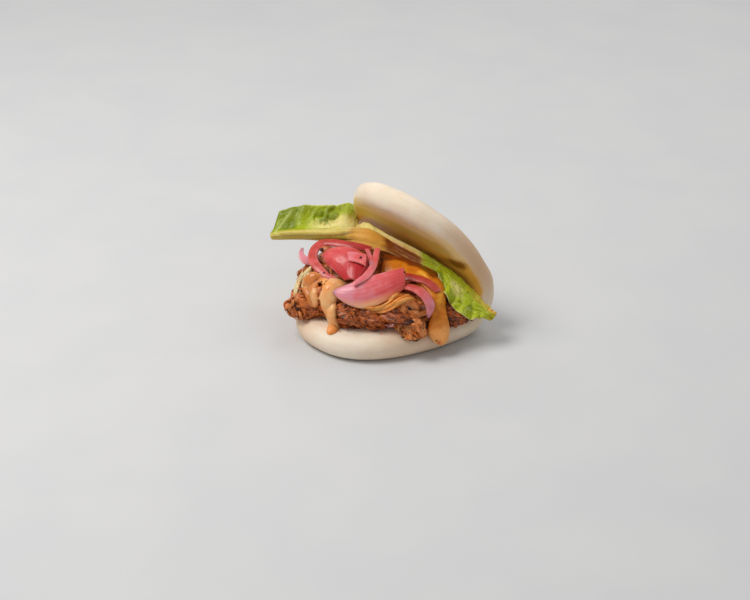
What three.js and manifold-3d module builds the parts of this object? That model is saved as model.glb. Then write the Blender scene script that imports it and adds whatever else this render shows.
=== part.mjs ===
// Gua bao: a steamed bun folded over pulled pork, with melted cheese, a spiced
// mayonnaise, pickled red onion and one lettuce leaf that sticks out of the fold.
//
// Millimetres, +Z up. X runs along the fold, the mouth opens towards -Y and the
// fold is at +Y. Every piece is worked out in the bun's own frame: x = 0 in the
// middle of the fold, y = 0 where the lower half starts to bend, z = 0 under it.
// The group then moves everything so that the origin is under the middle.
import * as THREE from 'three';
import { mergeVertices } from 'three/addons/utils/BufferGeometryUtils.js';
import Module from 'manifold-3d';

const wasm = await Module();
wasm.setup();

// ---------------------------------------------------------------- sizes (mm)

// Space kept between pieces that touch.
const GAP = 0.35;

// The bun is an oval slab of dough, bent once. Reaches are measured along the
// slab from the line where the bend starts to the lower and the upper rim.
const BUN = {
  halfWidth: 43,
  lowerReach: 60,
  upperReach: 79.5,
  thickness: 12,
  roundness: 2.3,
  foldRadius: 16,
  foldAngle: THREE.MathUtils.degToRad(113),
  crownRadius: 130,
  lean: -5.2,             // how far the upper rim is off to one side
  lowerLean: -1.4,        // the same of the lower rim
  tilt: 4.6,              // how much further the upper rim reaches at the near end
};

// Lettuce: a thick white rib side and a thin blade.
const LEAF = { rib: 2.4, blade: 1.1, ruffle: 1.5, waves: 13 };

// Onion slices, cheese and sauce.
const ONION_THICK = 1.9;
const CHEESE_THICK = 2.6;
const SAUCE_THICK = 3;

// Pulled pork: how uneven a clump is, and the fibres that lie on it.
const CLUMP_ROUGHNESS = 0.12;
const FIBRE = { sides: 4, steps: 4, radius: [0.9, 1.4], sweep: [0.8, 1.4] };

// ------------------------------------------------------------------- colours

const finish = {
  dough: { color: 0xeadbc8, roughness: 0.55, metalness: 0 },
  meat: { color: 0x8f5230, roughness: 0.5, metalness: 0 },
  cheese: { color: 0xdb9236, roughness: 0.35, metalness: 0 },
  sauce: { color: 0xefb070, roughness: 0.3, metalness: 0 },
  lettuce: { color: 0xb4c24c, roughness: 0.45, metalness: 0 },
  onion: { color: 0xdc6f80, roughness: 0.3, metalness: 0 },
};

// ------------------------------------------------------------------- helpers

const vec = ([x, y, z]) => new THREE.Vector3(x, y, z);
const mix = THREE.MathUtils.lerp;
const smooth = THREE.MathUtils.smoothstep;

// Seeded random numbers from 0 to 1.
function randomFrom(seed) {
  let state = seed;
  return () => {
    state = (state + 0x6d2b79f5) | 0;
    let t = Math.imul(state ^ (state >>> 15), 1 | state);
    t = (t + Math.imul(t ^ (t >>> 7), 61 | t)) ^ t;
    return ((t ^ (t >>> 14)) >>> 0) / 4294967296;
  };
}

// A closed geometry as a solid that can be joined and cut.
function solidOf(geometry) {
  const bare = geometry.clone();
  bare.deleteAttribute('normal');
  bare.deleteAttribute('uv');
  const merged = mergeVertices(bare, 1e-4);
  return new wasm.Manifold(
    new wasm.Mesh({
      numProp: 3,
      vertProperties: new Float32Array(merged.attributes.position.array),
      triVerts: new Uint32Array(merged.index.array),
    }),
  );
}

// The largest body of a solid: cutting can leave loose scraps.
function largestBody(solid) {
  const bodies = solid.decompose();
  return bodies.reduce((a, b) => (b.volume() > a.volume() ? b : a));
}

function cutBy(solid, others) {
  return largestBody(others.reduce((rest, other) => rest.subtract(other), solid));
}

function joined(solids) {
  return solids.reduce((all, one) => all.add(one));
}

function geometryOf(solid) {
  const mesh = solid.getMesh();
  const geometry = new THREE.BufferGeometry();
  geometry.setAttribute('position', new THREE.BufferAttribute(mesh.vertProperties, 3));
  geometry.setIndex(new THREE.BufferAttribute(mesh.triVerts, 1));
  geometry.computeVertexNormals();
  return geometry;
}

function indexed(points, faces) {
  const geometry = new THREE.BufferGeometry();
  const flat = new Float32Array(points.flatMap((p) => p.toArray()));
  geometry.setAttribute('position', new THREE.BufferAttribute(flat, 3));
  geometry.setIndex(faces);
  return geometry;
}

// ----------------------------------------------------------------------- bun

// The middle surface of the slab, as far along it as `reach`: flat, then the
// tight fold, then the wide curve of the upper half.
function bunProfile(reach) {
  const foldLength = BUN.foldRadius * BUN.foldAngle;
  const inFold = THREE.MathUtils.clamp(reach, 0, foldLength) / BUN.foldRadius;
  const inCrown = Math.max(reach - foldLength, 0) / BUN.crownRadius;
  const turn = BUN.foldAngle + inCrown;
  let y = Math.min(reach, 0) + BUN.foldRadius * Math.sin(inFold);
  let z = BUN.foldRadius * (1 - Math.cos(inFold));
  if (inCrown > 0) {
    y += BUN.crownRadius * (Math.sin(turn) - Math.sin(BUN.foldAngle));
    z += BUN.crownRadius * (Math.cos(BUN.foldAngle) - Math.cos(turn));
  }
  return { y, z, slope: inFold + inCrown };
}

// Rows from the middle of the inner face out to the rim, round it, and back to
// the middle of the outer face. `side` is +1 on the inner face, -1 on the outer.
function bunRows() {
  const faceCuts = [0.1, 0.2, 0.31, 0.44, 0.58, 0.72, 0.86];
  const rimCuts = 8;
  const inner = faceCuts.map((share) => ({ share, inset: 1, side: 1 }));
  const rim = Array.from({ length: rimCuts + 1 }, (_, k) => {
    const angle = Math.PI * (0.5 - k / rimCuts);
    return { share: 1, inset: 1 - Math.cos(angle), side: Math.sin(angle) };
  });
  const outer = inner.map((row) => ({ ...row, side: -1 })).reverse();
  return [...inner, ...rim, ...outer];
}

function bunSolid(grow = 0) {
  const segments = 52;
  const half = BUN.thickness / 2 + grow;
  const centre = (BUN.foldRadius * BUN.foldAngle) / 2;
  const power = 2 / BUN.roundness;
  const place = (x, reach, side) => {
    const { y, z, slope } = bunProfile(reach);
    const off = side * half;
    const height = z + Math.cos(slope) * off + BUN.thickness / 2;
    return new THREE.Vector3(x, y - Math.sin(slope) * off, height);
  };
  const oval = Array.from({ length: segments }, (_, k) => {
    const even = (k / segments) * 2 * Math.PI;
    const angle = even - 0.3 * Math.sin(2 * even);      // closer together near the fold
    const c = Math.cos(angle);
    const s = Math.sin(angle);
    const reach = s > 0 ? BUN.upperReach - centre : BUN.lowerReach + centre;
    return {
      across: Math.sign(c) * Math.abs(c) ** power,
      along: Math.sign(s) * Math.abs(s) ** power,
      reach: reach + grow,
    };
  });
  const points = [place(0, centre, 1)];
  for (const { share, inset, side } of bunRows()) {
    for (const { across, along, reach } of oval) {
      const x = across * (BUN.halfWidth + grow - half * inset) * share;
      const p = along * (reach - half * inset) * share;
      const above = Math.max(p, 0) / (BUN.upperReach - centre);
      const below = Math.max(-p, 0) / (BUN.lowerReach + centre);
      const leant = x + BUN.lean * above + BUN.lowerLean * below;
      const further = (BUN.tilt * above * leant) / BUN.halfWidth;
      points.push(place(leant, p + further + centre, side));
    }
  }
  points.push(place(0, centre, -1));
  return solidOf(indexed(points, revolvedFaces(bunRows().length, segments, points.length)));
}

// Faces of a closed shape with a first point, rings, and a last point.
function revolvedFaces(rings, segments, count) {
  const faces = [];
  const at = (ring, k) => 1 + ring * segments + (k % segments);
  for (let k = 0; k < segments; k += 1) {
    faces.push(0, at(0, k), at(0, k + 1));
    for (let ring = 0; ring < rings - 1; ring += 1) {
      faces.push(at(ring, k), at(ring + 1, k), at(ring + 1, k + 1));
      faces.push(at(ring, k), at(ring + 1, k + 1), at(ring, k + 1));
    }
    faces.push(count - 1, at(rings - 1, k + 1), at(rings - 1, k));
  }
  return faces;
}

// -------------------------------------------------------------------- sheets

// A thin solid on both sides of a surface. `rowAt(u)` gives the function of v
// that runs across the surface there; the thickness falls off at the edges.
function sheetSolid(rowAt, [alongCuts, acrossCuts], thickAt, grow = 0) {
  const grid = Array.from({ length: alongCuts + 1 }, (_, i) => {
    const row = rowAt(i / alongCuts);
    return Array.from({ length: acrossCuts + 1 }, (_, j) => row(j / acrossCuts));
  });
  const { clamp } = THREE.MathUtils;
  const pick = (i, j) => grid[clamp(i, 0, alongCuts)][clamp(j, 0, acrossCuts)];
  const top = [];
  const bottom = [];
  for (let i = 0; i <= alongCuts; i += 1) {
    for (let j = 0; j <= acrossCuts; j += 1) {
      const along = pick(i + 1, j).clone().sub(pick(i - 1, j)).normalize();
      const across = pick(i, j + 1).clone().sub(pick(i, j - 1)).normalize();
      const out = along.clone().cross(across).normalize();
      const edge = i === 0 || i === alongCuts || j === 0 || j === acrossCuts;
      const half = (thickAt(i / alongCuts, j / acrossCuts) * (edge ? 0.5 : 1)) / 2 + grow;
      const point = pick(i, j).clone();
      point.addScaledVector(along, grow * (Number(i === alongCuts) - Number(i === 0)));
      point.addScaledVector(across, grow * (Number(j === acrossCuts) - Number(j === 0)));
      top.push(point.clone().addScaledVector(out, half));
      bottom.push(point.clone().addScaledVector(out, -half));
    }
  }
  return solidOf(indexed([...top, ...bottom], sheetFaces(alongCuts, acrossCuts)));
}

function sheetFaces(alongCuts, acrossCuts) {
  const faces = [];
  const under = (alongCuts + 1) * (acrossCuts + 1);
  const at = (i, j) => i * (acrossCuts + 1) + j;
  for (let i = 0; i < alongCuts; i += 1) {
    for (let j = 0; j < acrossCuts; j += 1) {
      const [a, b, c, d] = [at(i, j), at(i + 1, j), at(i + 1, j + 1), at(i, j + 1)];
      faces.push(a, b, c, a, c, d);
      faces.push(under + a, under + c, under + b, under + a, under + d, under + c);
    }
  }
  const wall = (a, b) => faces.push(a, under + a, under + b, a, under + b, b);
  for (let i = 0; i < alongCuts; i += 1) {
    wall(at(i, 0), at(i + 1, 0));
    wall(at(i + 1, acrossCuts), at(i, acrossCuts));
  }
  for (let j = 0; j < acrossCuts; j += 1) {
    wall(at(alongCuts, j), at(alongCuts, j + 1));
    wall(at(0, j + 1), at(0, j));
  }
  return faces;
}

// A strip that follows a path. `face` holds the way it faces at the start and at
// the end, `ends` how wide it is there, and `crown` how far its middle stands out.
function stripSolid(strip, thick, grow = 0) {
  const { path, face, halfWidth, crown, ends, cuts } = strip;
  const line = new THREE.CatmullRomCurve3(path.map(vec), false, 'centripetal');
  const rowAt = (u) => {
    const middle = line.getPointAt(u);
    const along = line.getTangentAt(u);
    const facing = vec(face[0]).lerp(vec(face[1]), u);
    const side = facing.cross(along).normalize();
    const out = along.clone().cross(side);
    const round = Math.sqrt(1 - Math.abs(2 * u - 1) ** 3);
    const half = halfWidth * mix(mix(ends[0], ends[1], u), 1, round);
    return (v) => {
      const share = 2 * v - 1;
      return middle.clone()
        .addScaledVector(side, share * half)
        .addScaledVector(out, crown * (1 - share * share) * (half / halfWidth));
    };
  };
  return sheetSolid(rowAt, cuts, () => thick, grow);
}

// A band between two edges, each a smooth curve through its points. `bulge` is how
// far its middle stands out, as a share of its width.
function bandSolid({ edges, bulge, cuts }, thick, grow = 0) {
  const lines = edges.map((points) => new THREE.CatmullRomCurve3(points.map(vec), false, 'centripetal'));
  const rowAt = (u) => {
    const [start, end] = lines.map((line) => line.getPointAt(u));
    const along = lines[0].getTangentAt(u).add(lines[1].getTangentAt(u));
    const across = end.clone().sub(start);
    const rise = along.cross(across).setLength(bulge * across.length());
    return (v) => start.clone().lerp(end, v).addScaledVector(rise, 4 * v * (1 - v));
  };
  return sheetSolid(rowAt, cuts, () => thick, grow);
}

// ------------------------------------------------------------------- lettuce

// The leaf from its far tip, outside the fold, to its near tip. At each station:
// the lower front edge, the crease of the rib side, the free edge of the blade,
// and how deep the blade sags between the last two.
const LEAF_STATIONS = [
  { front: [-57, -37, 33.5], crease: [-57.5, -37.5, 36], edge: [-61, -28, 44.5], sag: 1.5 },
  { front: [-50, -32.5, 34.5], crease: [-50, -34, 39], edge: [-54.5, -21, 47.5], sag: 3 },
  { front: [-42.5, -28, 35.5], crease: [-42, -30, 40.5], edge: [-48.5, -15, 48], sag: 3.5 },
  { front: [-32, -24, 37], crease: [-32, -25.5, 42.5], edge: [-43.5, -6, 46.5], sag: 3 },
  { front: [-24, -21, 38], crease: [-25, -21, 43.8], edge: [-43.6, 4.5, 44.2], sag: 2.5 },
  { front: [-20.5, -19.5, 38.2], crease: [-23.3, -17.5, 43.6], edge: [-42.6, 8.5, 40.2], sag: 2.2 },
  { front: [-17, -18, 38.3], crease: [-21.5, -14, 43.3], edge: [-34, 1.5, 36.8], sag: 1.6 },
  { front: [-10, -15, 37.5], crease: [-15.5, -9.5, 43], edge: [-26, -1.2, 41.2], sag: 1.5 },
  { front: [-2, -9, 35.5], crease: [-8, -4.2, 38.2], edge: [-11, -2, 40.4], sag: 0.4 },
  { front: [5, -6, 32.6], crease: [2, -2.5, 35.6], edge: [-0.5, 0, 38.3], sag: 0 },
  { front: [13, -3, 31.4], crease: [10.5, -0.5, 33.6], edge: [7.6, 2, 36.3], sag: 0 },
  { front: [21, -0.5, 31], crease: [19, 2.2, 32], edge: [17.5, 3.8, 33.4], sag: 0 },
  { front: [31, -6.5, 28.5], crease: [29.8, -2, 30.6], edge: [28, 5.6, 29.8], sag: -0.6 },
  { front: [37, -8.5, 23.5], crease: [36.8, -3, 26.2], edge: [35.5, 7.6, 25], sag: -1 },
  { front: [44, -6.5, 17.5], crease: [43.4, -1.5, 20.6], edge: [42, 9.3, 19.8], sag: -1 },
  { front: [49.4, -1.2, 15.8], crease: [49, 2, 17.4], edge: [46.8, 10.2, 17.2], sag: -0.4 },
  { front: [52.6, 7, 14.6], crease: [52.3, 8.6, 15.2], edge: [51.2, 10.6, 15.4], sag: 0 },
];

function leafSolid(grow = 0) {
  const through = (points) => new THREE.CatmullRomCurve3(points, false, 'centripetal');
  const line = (key) => through(LEAF_STATIONS.map((station) => vec(station[key])));
  const [front, crease, edge] = ['front', 'crease', 'edge'].map(line);
  const sag = new THREE.CatmullRomCurve3(LEAF_STATIONS.map((s) => new THREE.Vector3(0, 0, s.sag)));
  const ruffleWay = new THREE.Vector3(0.1, -0.6, 0.8).normalize();
  const rowAt = (u) => {
    const points = [front.getPoint(u), crease.getPoint(u), null, edge.getPoint(u)];
    points[2] = points[1].clone().lerp(points[3], 0.4).sub(sag.getPoint(u));
    const section = through(points);
    const outside = 0.4 * (1 - smooth(u, 0.2, 0.3));    // the far part, beyond the bun
    const flap = smooth(u, 0.64, 0.76);                 // the near part, over the meat
    const swell = Math.sin(u * LEAF.waves * 2 * Math.PI);
    const wave = swell + 0.5 * Math.sin(u * LEAF.waves * 3.7 * Math.PI + 1);
    return (v) => {
      const loose = outside * smooth(v, 0.35, 1) + flap * (1 - smooth(v, 0, 0.45));
      return section.getPoint(v).addScaledVector(ruffleWay, LEAF.ruffle * wave * loose);
    };
  };
  const thickAt = (u, v) => {
    const nearRib = 1 - smooth(Math.abs(v - 0.2), 0.05, 0.25);
    return mix(LEAF.blade, LEAF.rib, nearRib * (1 - smooth(u, 0.5, 0.7)));
  };
  return sheetSolid(rowAt, [44, 8], thickAt, grow);
}

// ------------------------------------------------------------ onion slices

// Each slice is a band between two edges, the first on the right as one looks along
// it from outside, and some have a second band that branches off.
const ONIONS = {
  // A broad petal across the front of the heap, pointed at the left.
  onion_front: [{
    edges: [
      [[-0.9, -48.3, 28.9], [3.7, -48.4, 26.9], [8.6, -46.6, 24.9], [13.8, -43.1, 23.9],
        [18.4, -37.6, 25.5], [21.2, -31.1, 28.3], [22.8, -23.8, 30.8]],
      [[-1.4, -48.1, 29.4], [1.9, -43.9, 31.8], [5.6, -38.9, 34], [8.8, -33.4, 35.6],
        [13, -26.8, 37.1], [16.8, -18.4, 37.8]],
    ],
    bulge: 0.15, cuts: [14, 6],
  }],
  // A round petal behind it.
  onion_round: [{
    edges: [
      [[-23.3, -34.4, 35.9], [-18, -36.8, 34.3], [-10.7, -38.4, 33.2], [-1.9, -39.6, 31.8]],
      [[-18.7, -27.9, 39.6], [-10, -24.9, 40.5], [-1.9, -24.8, 38.5], [2.9, -28.9, 36.3],
        [4.5, -37.2, 32.7]],
    ],
    bulge: 0.16, cuts: [11, 6],
  }],
  // An open ring that hangs over the left shoulder.
  onion_ring: [{
    edges: [
      [[-7.4, -15.8, 39.4], [-12.5, -19.4, 40.4], [-19.1, -22.1, 40.4], [-25.1, -24.5, 39.9],
        [-30.8, -28.6, 38.8], [-31.1, -34.3, 36.9], [-27.4, -39.6, 34.7], [-22.3, -42.7, 33.3],
        [-14.7, -44, 31.1], [-6, -42.3, 30.4]],
      [[-6.2, -17.8, 38.3], [-10.6, -22.2, 38.5], [-15.3, -25.2, 38.7], [-20.3, -27.1, 38.5],
        [-25.5, -29.5, 38], [-26.4, -32.8, 37], [-23.3, -37.4, 35.3], [-17.9, -39.6, 33.7],
        [-11.3, -40.6, 32.2], [-4.2, -40.1, 30.8]],
    ],
    bulge: 0.12, cuts: [18, 4],
  }],
  // A curled tip beyond the ring.
  onion_hook: [{
    edges: [
      [[-34, -37.7, 37.4], [-33.2, -40.5, 35.7], [-30.7, -42.5, 34], [-27.7, -42.4, 32.3],
        [-24.9, -40.3, 31.5]],
      [[-33.5, -37.3, 37.1], [-31.3, -39, 35.2], [-28.7, -38.7, 34.4], [-26.9, -37.8, 34.2]],
    ],
    bulge: 0.1, cuts: [9, 3],
  }],
  // A short end piece on top.
  onion_chip: [{
    edges: [
      [[-5.3, -34.2, 39.1], [-0.8, -32.6, 39.3], [4.1, -31.4, 38.8]],
      [[-9.5, -30.4, 41.1], [-5.6, -27.9, 41.3], [-0.6, -26.1, 41.4]],
    ],
    bulge: 0.06, cuts: [6, 3],
  }],
  // A narrow forked strip that runs down over the petals.
  onion_strip: [
    {
      edges: [
        [[-5.5, -15.7, 39.4], [0.4, -23.7, 37.9], [4.8, -30.1, 37.5], [6.7, -37.3, 36],
          [5.9, -42.6, 34.4]],
        [[-3.2, -14.3, 39.2], [3, -21.8, 38.1], [7.7, -28.2, 37.3], [10.1, -35.6, 35.5],
          [8, -43.3, 33.9]],
      ],
      bulge: 0.1, cuts: [12, 3],
    },
    {
      edges: [
        [[-8.1, -20, 39.2], [-2.7, -23.3, 38.3], [3.1, -27.7, 37.6], [7.3, -30.5, 36.9]],
        [[-7, -18.7, 39.4], [-1.6, -22, 38.7], [4.2, -26.5, 38.1], [8.1, -29.3, 37.3]],
      ],
      bulge: 0.1, cuts: [7, 3],
    },
  ],
  // A longer strip towards the near end, partly under the leaf.
  onion_back: [{
    edges: [
      [[17.2, -18.7, 30.8], [22.3, -16.5, 31.4], [27.4, -14.8, 31], [33.2, -14, 28.6]],
      [[13.4, -14.9, 32.4], [19, -13.1, 32.7], [24.9, -11.5, 32.4], [30.7, -10.7, 31],
        [34.3, -11.1, 29]],
    ],
    bulge: 0.1, cuts: [10, 3],
  }],
  // A hooked strip that hangs down beside the cheese.
  onion_hang: [{
    edges: [
      [[22.1, -24.5, 30.5], [26.8, -23.2, 30.4], [31.7, -22.2, 28.4], [34.8, -22.2, 25.3],
        [36.3, -22.3, 20]],
      [[19.7, -21.4, 31.4], [25.6, -19.5, 31.5], [30.2, -18.5, 31], [34.7, -18.2, 28.7],
        [37.4, -18.7, 25.5], [37.8, -20.5, 22.2], [36.9, -22.2, 19.4]],
    ],
    bulge: 0.12, cuts: [12, 3],
  }],
};

// ---------------------------------------------------------- cheese and sauce

// A melted slice: its edge over the filling and down the near side, and its edge
// under the leaf.
const CHEESE = {
  edges: [
    [[3.3, -20.4, 30.1], [8.1, -17.7, 30.4], [14.4, -15.2, 30.7], [21.7, -15.2, 30.7],
      [28.5, -15.3, 28.9], [33.7, -16.5, 25.4], [35.7, -18.9, 20], [36.5, -21.7, 15.4],
      [38.2, -23.1, 11.2], [41.2, -22, 7.6], [43, -20.4, 6.3]],
    [[-5, -9.5, 34.6], [3, -5, 33.2], [10, -2.2, 31.8], [17, -0.8, 30.8], [25, -2.4, 30],
      [32, -6, 27.8], [36.8, -10.4, 21.8], [39.8, -12.4, 18], [42.5, -13.5, 13],
      [43.9, -16.5, 8.2], [43.3, -19.4, 6.3]],
  ],
  bulge: 0.08, cuts: [18, 5],
};

const SAUCE = [
  {
    path: [[0.3, -37.8, 29.7], [-2.1, -42.1, 29.7], [-4.3, -46.6, 28.9], [-3.4, -49.5, 26],
      [-1, -51.2, 22.1], [1.6, -52.8, 17.8], [4.6, -55.9, 12.2]],
    face: [[0.1, -0.5, 0.85], [0.2, -0.8, 0.5]], halfWidth: 4.1, crown: 0.6, ends: [0.4, 0.5],
    cuts: [10, 3],
  },
  {
    path: [[-16.3, -43.1, 29.1], [-16.8, -47.4, 29.4], [-15.4, -50, 27.1], [-13, -51, 24.6],
      [-10.4, -52.5, 22.3]],
    face: [[0.1, -0.5, 0.85], [-0.1, -0.9, 0.4]], halfWidth: 4.3, crown: 0.6, ends: [0.4, 0.5],
    cuts: [7, 3],
  },
  {
    path: [[-4.8, -46, 28.6], [-10.8, -44.2, 29.3], [-16.3, -43.3, 29], [-16.4, -47.4, 28.8]],
    face: [[0.2, -0.5, 0.8], [0, -0.5, 0.8]], halfWidth: 2.2, crown: 0.2, ends: [0.8, 0.8],
    cuts: [5, 1],
  },
];

// --------------------------------------------------------------- pulled pork

// Clumps of the heap: middle, half sizes, turn about Z in degrees, cuts of each
// face, and how many fibres lie on it.
const CLUMPS = [
  { at: [0, -16, 18], half: [38.5, 27, 12.5], turn: 0, cuts: 3, fibres: 0 },
  { at: [-13, -24, 26], half: [18, 14, 12], turn: 15, cuts: 2, fibres: 0 },
  { at: [0, -8, 24.5], half: [29, 9, 6.5], turn: -8, cuts: 2, fibres: 0 },
  { at: [-7, -15.5, 30], half: [9, 5, 7], turn: -20, cuts: 1, fibres: 0 },
  { at: [-20, -39, 24], half: [10.5, 9, 10.5], turn: 30, cuts: 2, fibres: 2 },
  { at: [-8, -43.5, 21], half: [10, 8, 9.5], turn: 0, cuts: 2, fibres: 1 },
  { at: [-18.5, -51, 16], half: [9, 7.5, 8.5], turn: 35, cuts: 2, fibres: 3 },
  { at: [4, -44, 18], half: [9.5, 7.5, 7], turn: 0, cuts: 2, fibres: 0 },
  { at: [13, -38, 18.5], half: [9.5, 7, 7.5], turn: 35, cuts: 2, fibres: 0 },
  { at: [25, -27, 20], half: [9.5, 7.5, 8.5], turn: 35, cuts: 2, fibres: 3 },
  { at: [31, -28, 14.5], half: [8, 6, 6.5], turn: 20, cuts: 2, fibres: 2 },
  { at: [34, -30.5, 10.5], half: [5, 4.5, 4.5], turn: 0, cuts: 1, fibres: 0 },
  { at: [38, -5, 15.5], half: [7, 8.5, 6.5], turn: 0, cuts: 2, fibres: 0 },
  { at: [-33, -19, 19], half: [9, 14, 8.5], turn: 0, cuts: 2, fibres: 1 },
];

// Waves over a clump that make it uneven, the same for the same seed.
function unevenness(seed) {
  const random = randomFrom(seed);
  const waves = Array.from({ length: 6 }, (_, k) => ({
    way: new THREE.Vector3(random() - 0.5, random() - 0.5, random() - 0.5).normalize(),
    rate: 1.6 + 0.7 * k,
    start: random() * 2 * Math.PI,
  }));
  return (d) => waves.reduce((sum, w) => sum + Math.sin(d.dot(w.way) * w.rate * 2 + w.start), 0) / 3;
}

function clumpSurface({ at, half, turn }, seed) {
  const uneven = unevenness(seed);
  const spin = new THREE.Matrix4().makeRotationZ(THREE.MathUtils.degToRad(turn));
  return (direction, lift) => {
    const reach = 1 + CLUMP_ROUGHNESS * uneven(direction);
    const point = direction.clone().multiply(vec(half)).multiplyScalar(reach);
    point.addScaledVector(direction, lift);
    return point.applyMatrix4(spin).add(vec(at));
  };
}

function clumpSolid(clump, seed) {
  const surface = clumpSurface(clump, seed);
  const ball = new THREE.IcosahedronGeometry(1, clump.cuts);
  const place = ball.attributes.position;
  for (let k = 0; k < place.count; k += 1) {
    const point = surface(new THREE.Vector3().fromBufferAttribute(place, k).normalize(), 0);
    place.setXYZ(k, point.x, point.y, point.z);
  }
  return solidOf(ball);
}

// A fibre follows a clump's surface from one side to another, half sunk in it.
function fibreSolid(clump, seed, random) {
  const surface = clumpSurface(clump, seed);
  const start = new THREE.Vector3(random() * 2 - 1, 0.2 - random() * 1.6, random() * 1.5 - 0.4);
  start.normalize();
  const axis = new THREE.Vector3(random() - 0.5, random() - 0.5, random() - 0.5);
  axis.cross(start).normalize();
  const sweep = mix(FIBRE.sweep[0], FIBRE.sweep[1], random());
  const radius = mix(FIBRE.radius[0], FIBRE.radius[1], random());
  const points = [0, 0.33, 0.67, 1].map((share) => {
    const direction = start.clone().applyAxisAngle(axis, sweep * (share - 0.5));
    return surface(direction, 0.2 + 0.9 * Math.sin(share * Math.PI) * random());
  });
  const outline = new THREE.Shape(
    Array.from({ length: FIBRE.sides }, (_, k) => {
      const angle = (k / FIBRE.sides) * 2 * Math.PI;
      return new THREE.Vector2(radius * Math.cos(angle), radius * Math.sin(angle));
    }),
  );
  const extrudePath = new THREE.CatmullRomCurve3(points);
  const settings = { steps: FIBRE.steps, bevelEnabled: false, extrudePath };
  return solidOf(new THREE.ExtrudeGeometry(outline, settings));
}

function porkSolid() {
  const random = randomFrom(7);
  const pieces = [];
  CLUMPS.forEach((clump, k) => {
    pieces.push(clumpSolid(clump, 20 + k));
    for (let n = 0; n < clump.fibres; n += 1) {
      pieces.push(fibreSolid(clump, 20 + k, random));
    }
  });
  return joined(pieces);
}

// ------------------------------------------------------------------ assembly

const group = new THREE.Group();

function addPiece(name, solid, look) {
  const mesh = new THREE.Mesh(geometryOf(solid), new THREE.MeshStandardMaterial(look));
  mesh.name = name;
  group.add(mesh);
}

// Pieces are made from the one that keeps its whole form to the one that gives
// way: each is cut clear of those before it.
const clearances = [bunSolid(GAP)];
addPiece('bun', bunSolid(), finish.dough);

addPiece('lettuce', cutBy(leafSolid(), clearances), finish.lettuce);
clearances.push(leafSolid(GAP));

for (const [name, bands] of Object.entries(ONIONS)) {
  const slice = (grow) => joined(bands.map((band) => bandSolid(band, ONION_THICK, grow)));
  addPiece(name, cutBy(slice(0), clearances), finish.onion);
  clearances.push(slice(GAP));
}

addPiece('cheese', cutBy(bandSolid(CHEESE, CHEESE_THICK), clearances), finish.cheese);
clearances.push(bandSolid(CHEESE, CHEESE_THICK, GAP));

const drapes = (grow) => joined(SAUCE.map((drape) => stripSolid(drape, SAUCE_THICK, grow)));
addPiece('sauce', cutBy(drapes(0), clearances), finish.sauce);
clearances.push(drapes(GAP));

addPiece('pulled_pork', cutBy(porkSolid(), clearances), finish.meat);

// The origin goes under the middle of the whole.
const box = new THREE.Box3().setFromObject(group);
group.position.set(-(box.min.x + box.max.x) / 2, -(box.min.y + box.max.y) / 2, -box.min.z);

export default group;
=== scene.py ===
"""Gua bao: the looks of a folded steamed bun with its filling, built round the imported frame.

The bun, the lettuce leaf, the onion slices, the cheese, the sauce and the pulled pork are
closed surfaces worked out with numpy. They are shaped in millimetres in the bun's own
frame (x along the fold, y = 0 where the lower half starts to bend, z = 0 under it), which
`Bench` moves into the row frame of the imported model.
"""

import logging
from dataclasses import dataclass, field
from enum import Enum
from math import cos, pi, radians, sin

import bpy
import numpy as np
from mathutils import Matrix, Vector
from numpy.typing import NDArray

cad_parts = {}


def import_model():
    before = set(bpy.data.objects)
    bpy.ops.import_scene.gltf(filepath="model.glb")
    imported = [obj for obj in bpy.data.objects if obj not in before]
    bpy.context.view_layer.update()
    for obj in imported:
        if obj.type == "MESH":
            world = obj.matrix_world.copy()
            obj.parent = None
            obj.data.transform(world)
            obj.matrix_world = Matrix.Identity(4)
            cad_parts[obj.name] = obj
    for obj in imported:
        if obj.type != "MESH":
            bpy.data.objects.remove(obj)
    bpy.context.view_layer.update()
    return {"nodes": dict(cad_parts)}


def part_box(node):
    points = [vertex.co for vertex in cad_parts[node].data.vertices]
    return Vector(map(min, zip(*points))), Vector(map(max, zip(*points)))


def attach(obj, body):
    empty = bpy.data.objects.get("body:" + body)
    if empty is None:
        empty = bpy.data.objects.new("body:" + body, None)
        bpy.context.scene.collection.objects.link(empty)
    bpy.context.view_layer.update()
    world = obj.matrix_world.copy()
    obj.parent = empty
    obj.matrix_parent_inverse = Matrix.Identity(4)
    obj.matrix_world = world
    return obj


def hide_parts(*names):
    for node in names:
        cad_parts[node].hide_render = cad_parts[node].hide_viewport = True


log = logging.getLogger("gua_bao")
Array = NDArray[np.float64]
Point = tuple[float, float, float]
Line = tuple[Point, ...]
Traits = dict[str, Array]
MM = 0.001
MISSED = -1e3  # how far along a ray something lies that the ray misses


class Slot(Enum):
    """The record's material slots."""

    DOUGH = "steamed_dough"
    LEAF = "lettuce_leaf"
    ONION = "pickled_onion"
    CHEESE = "melted_cheese"
    SAUCE = "spiced_sauce"
    PORK = "pulled_meat"


# --- numbers


def mix(a: Array, b: Array, share: Array) -> Array:
    """The point a share of the way from a to b."""
    return a + (b - a) * share


def smoothstep(x: Array, low: float, high: float) -> Array:
    """A soft step of x from 0 at low to 1 at high."""
    t = np.clip((x - low) / (high - low), 0.0, 1.0)
    return t * t * (3.0 - 2.0 * t)


def bell(x: Array, middle: float, width: float) -> Array:
    """A soft hump of height 1 at the middle that has faded after about two widths."""
    return np.exp(-(((x - middle) / width) ** 2))


def unit(vectors: Array) -> Array:
    """The vectors at length 1."""
    return vectors / np.maximum(np.linalg.norm(vectors, axis=-1, keepdims=True), 1e-12)


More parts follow.
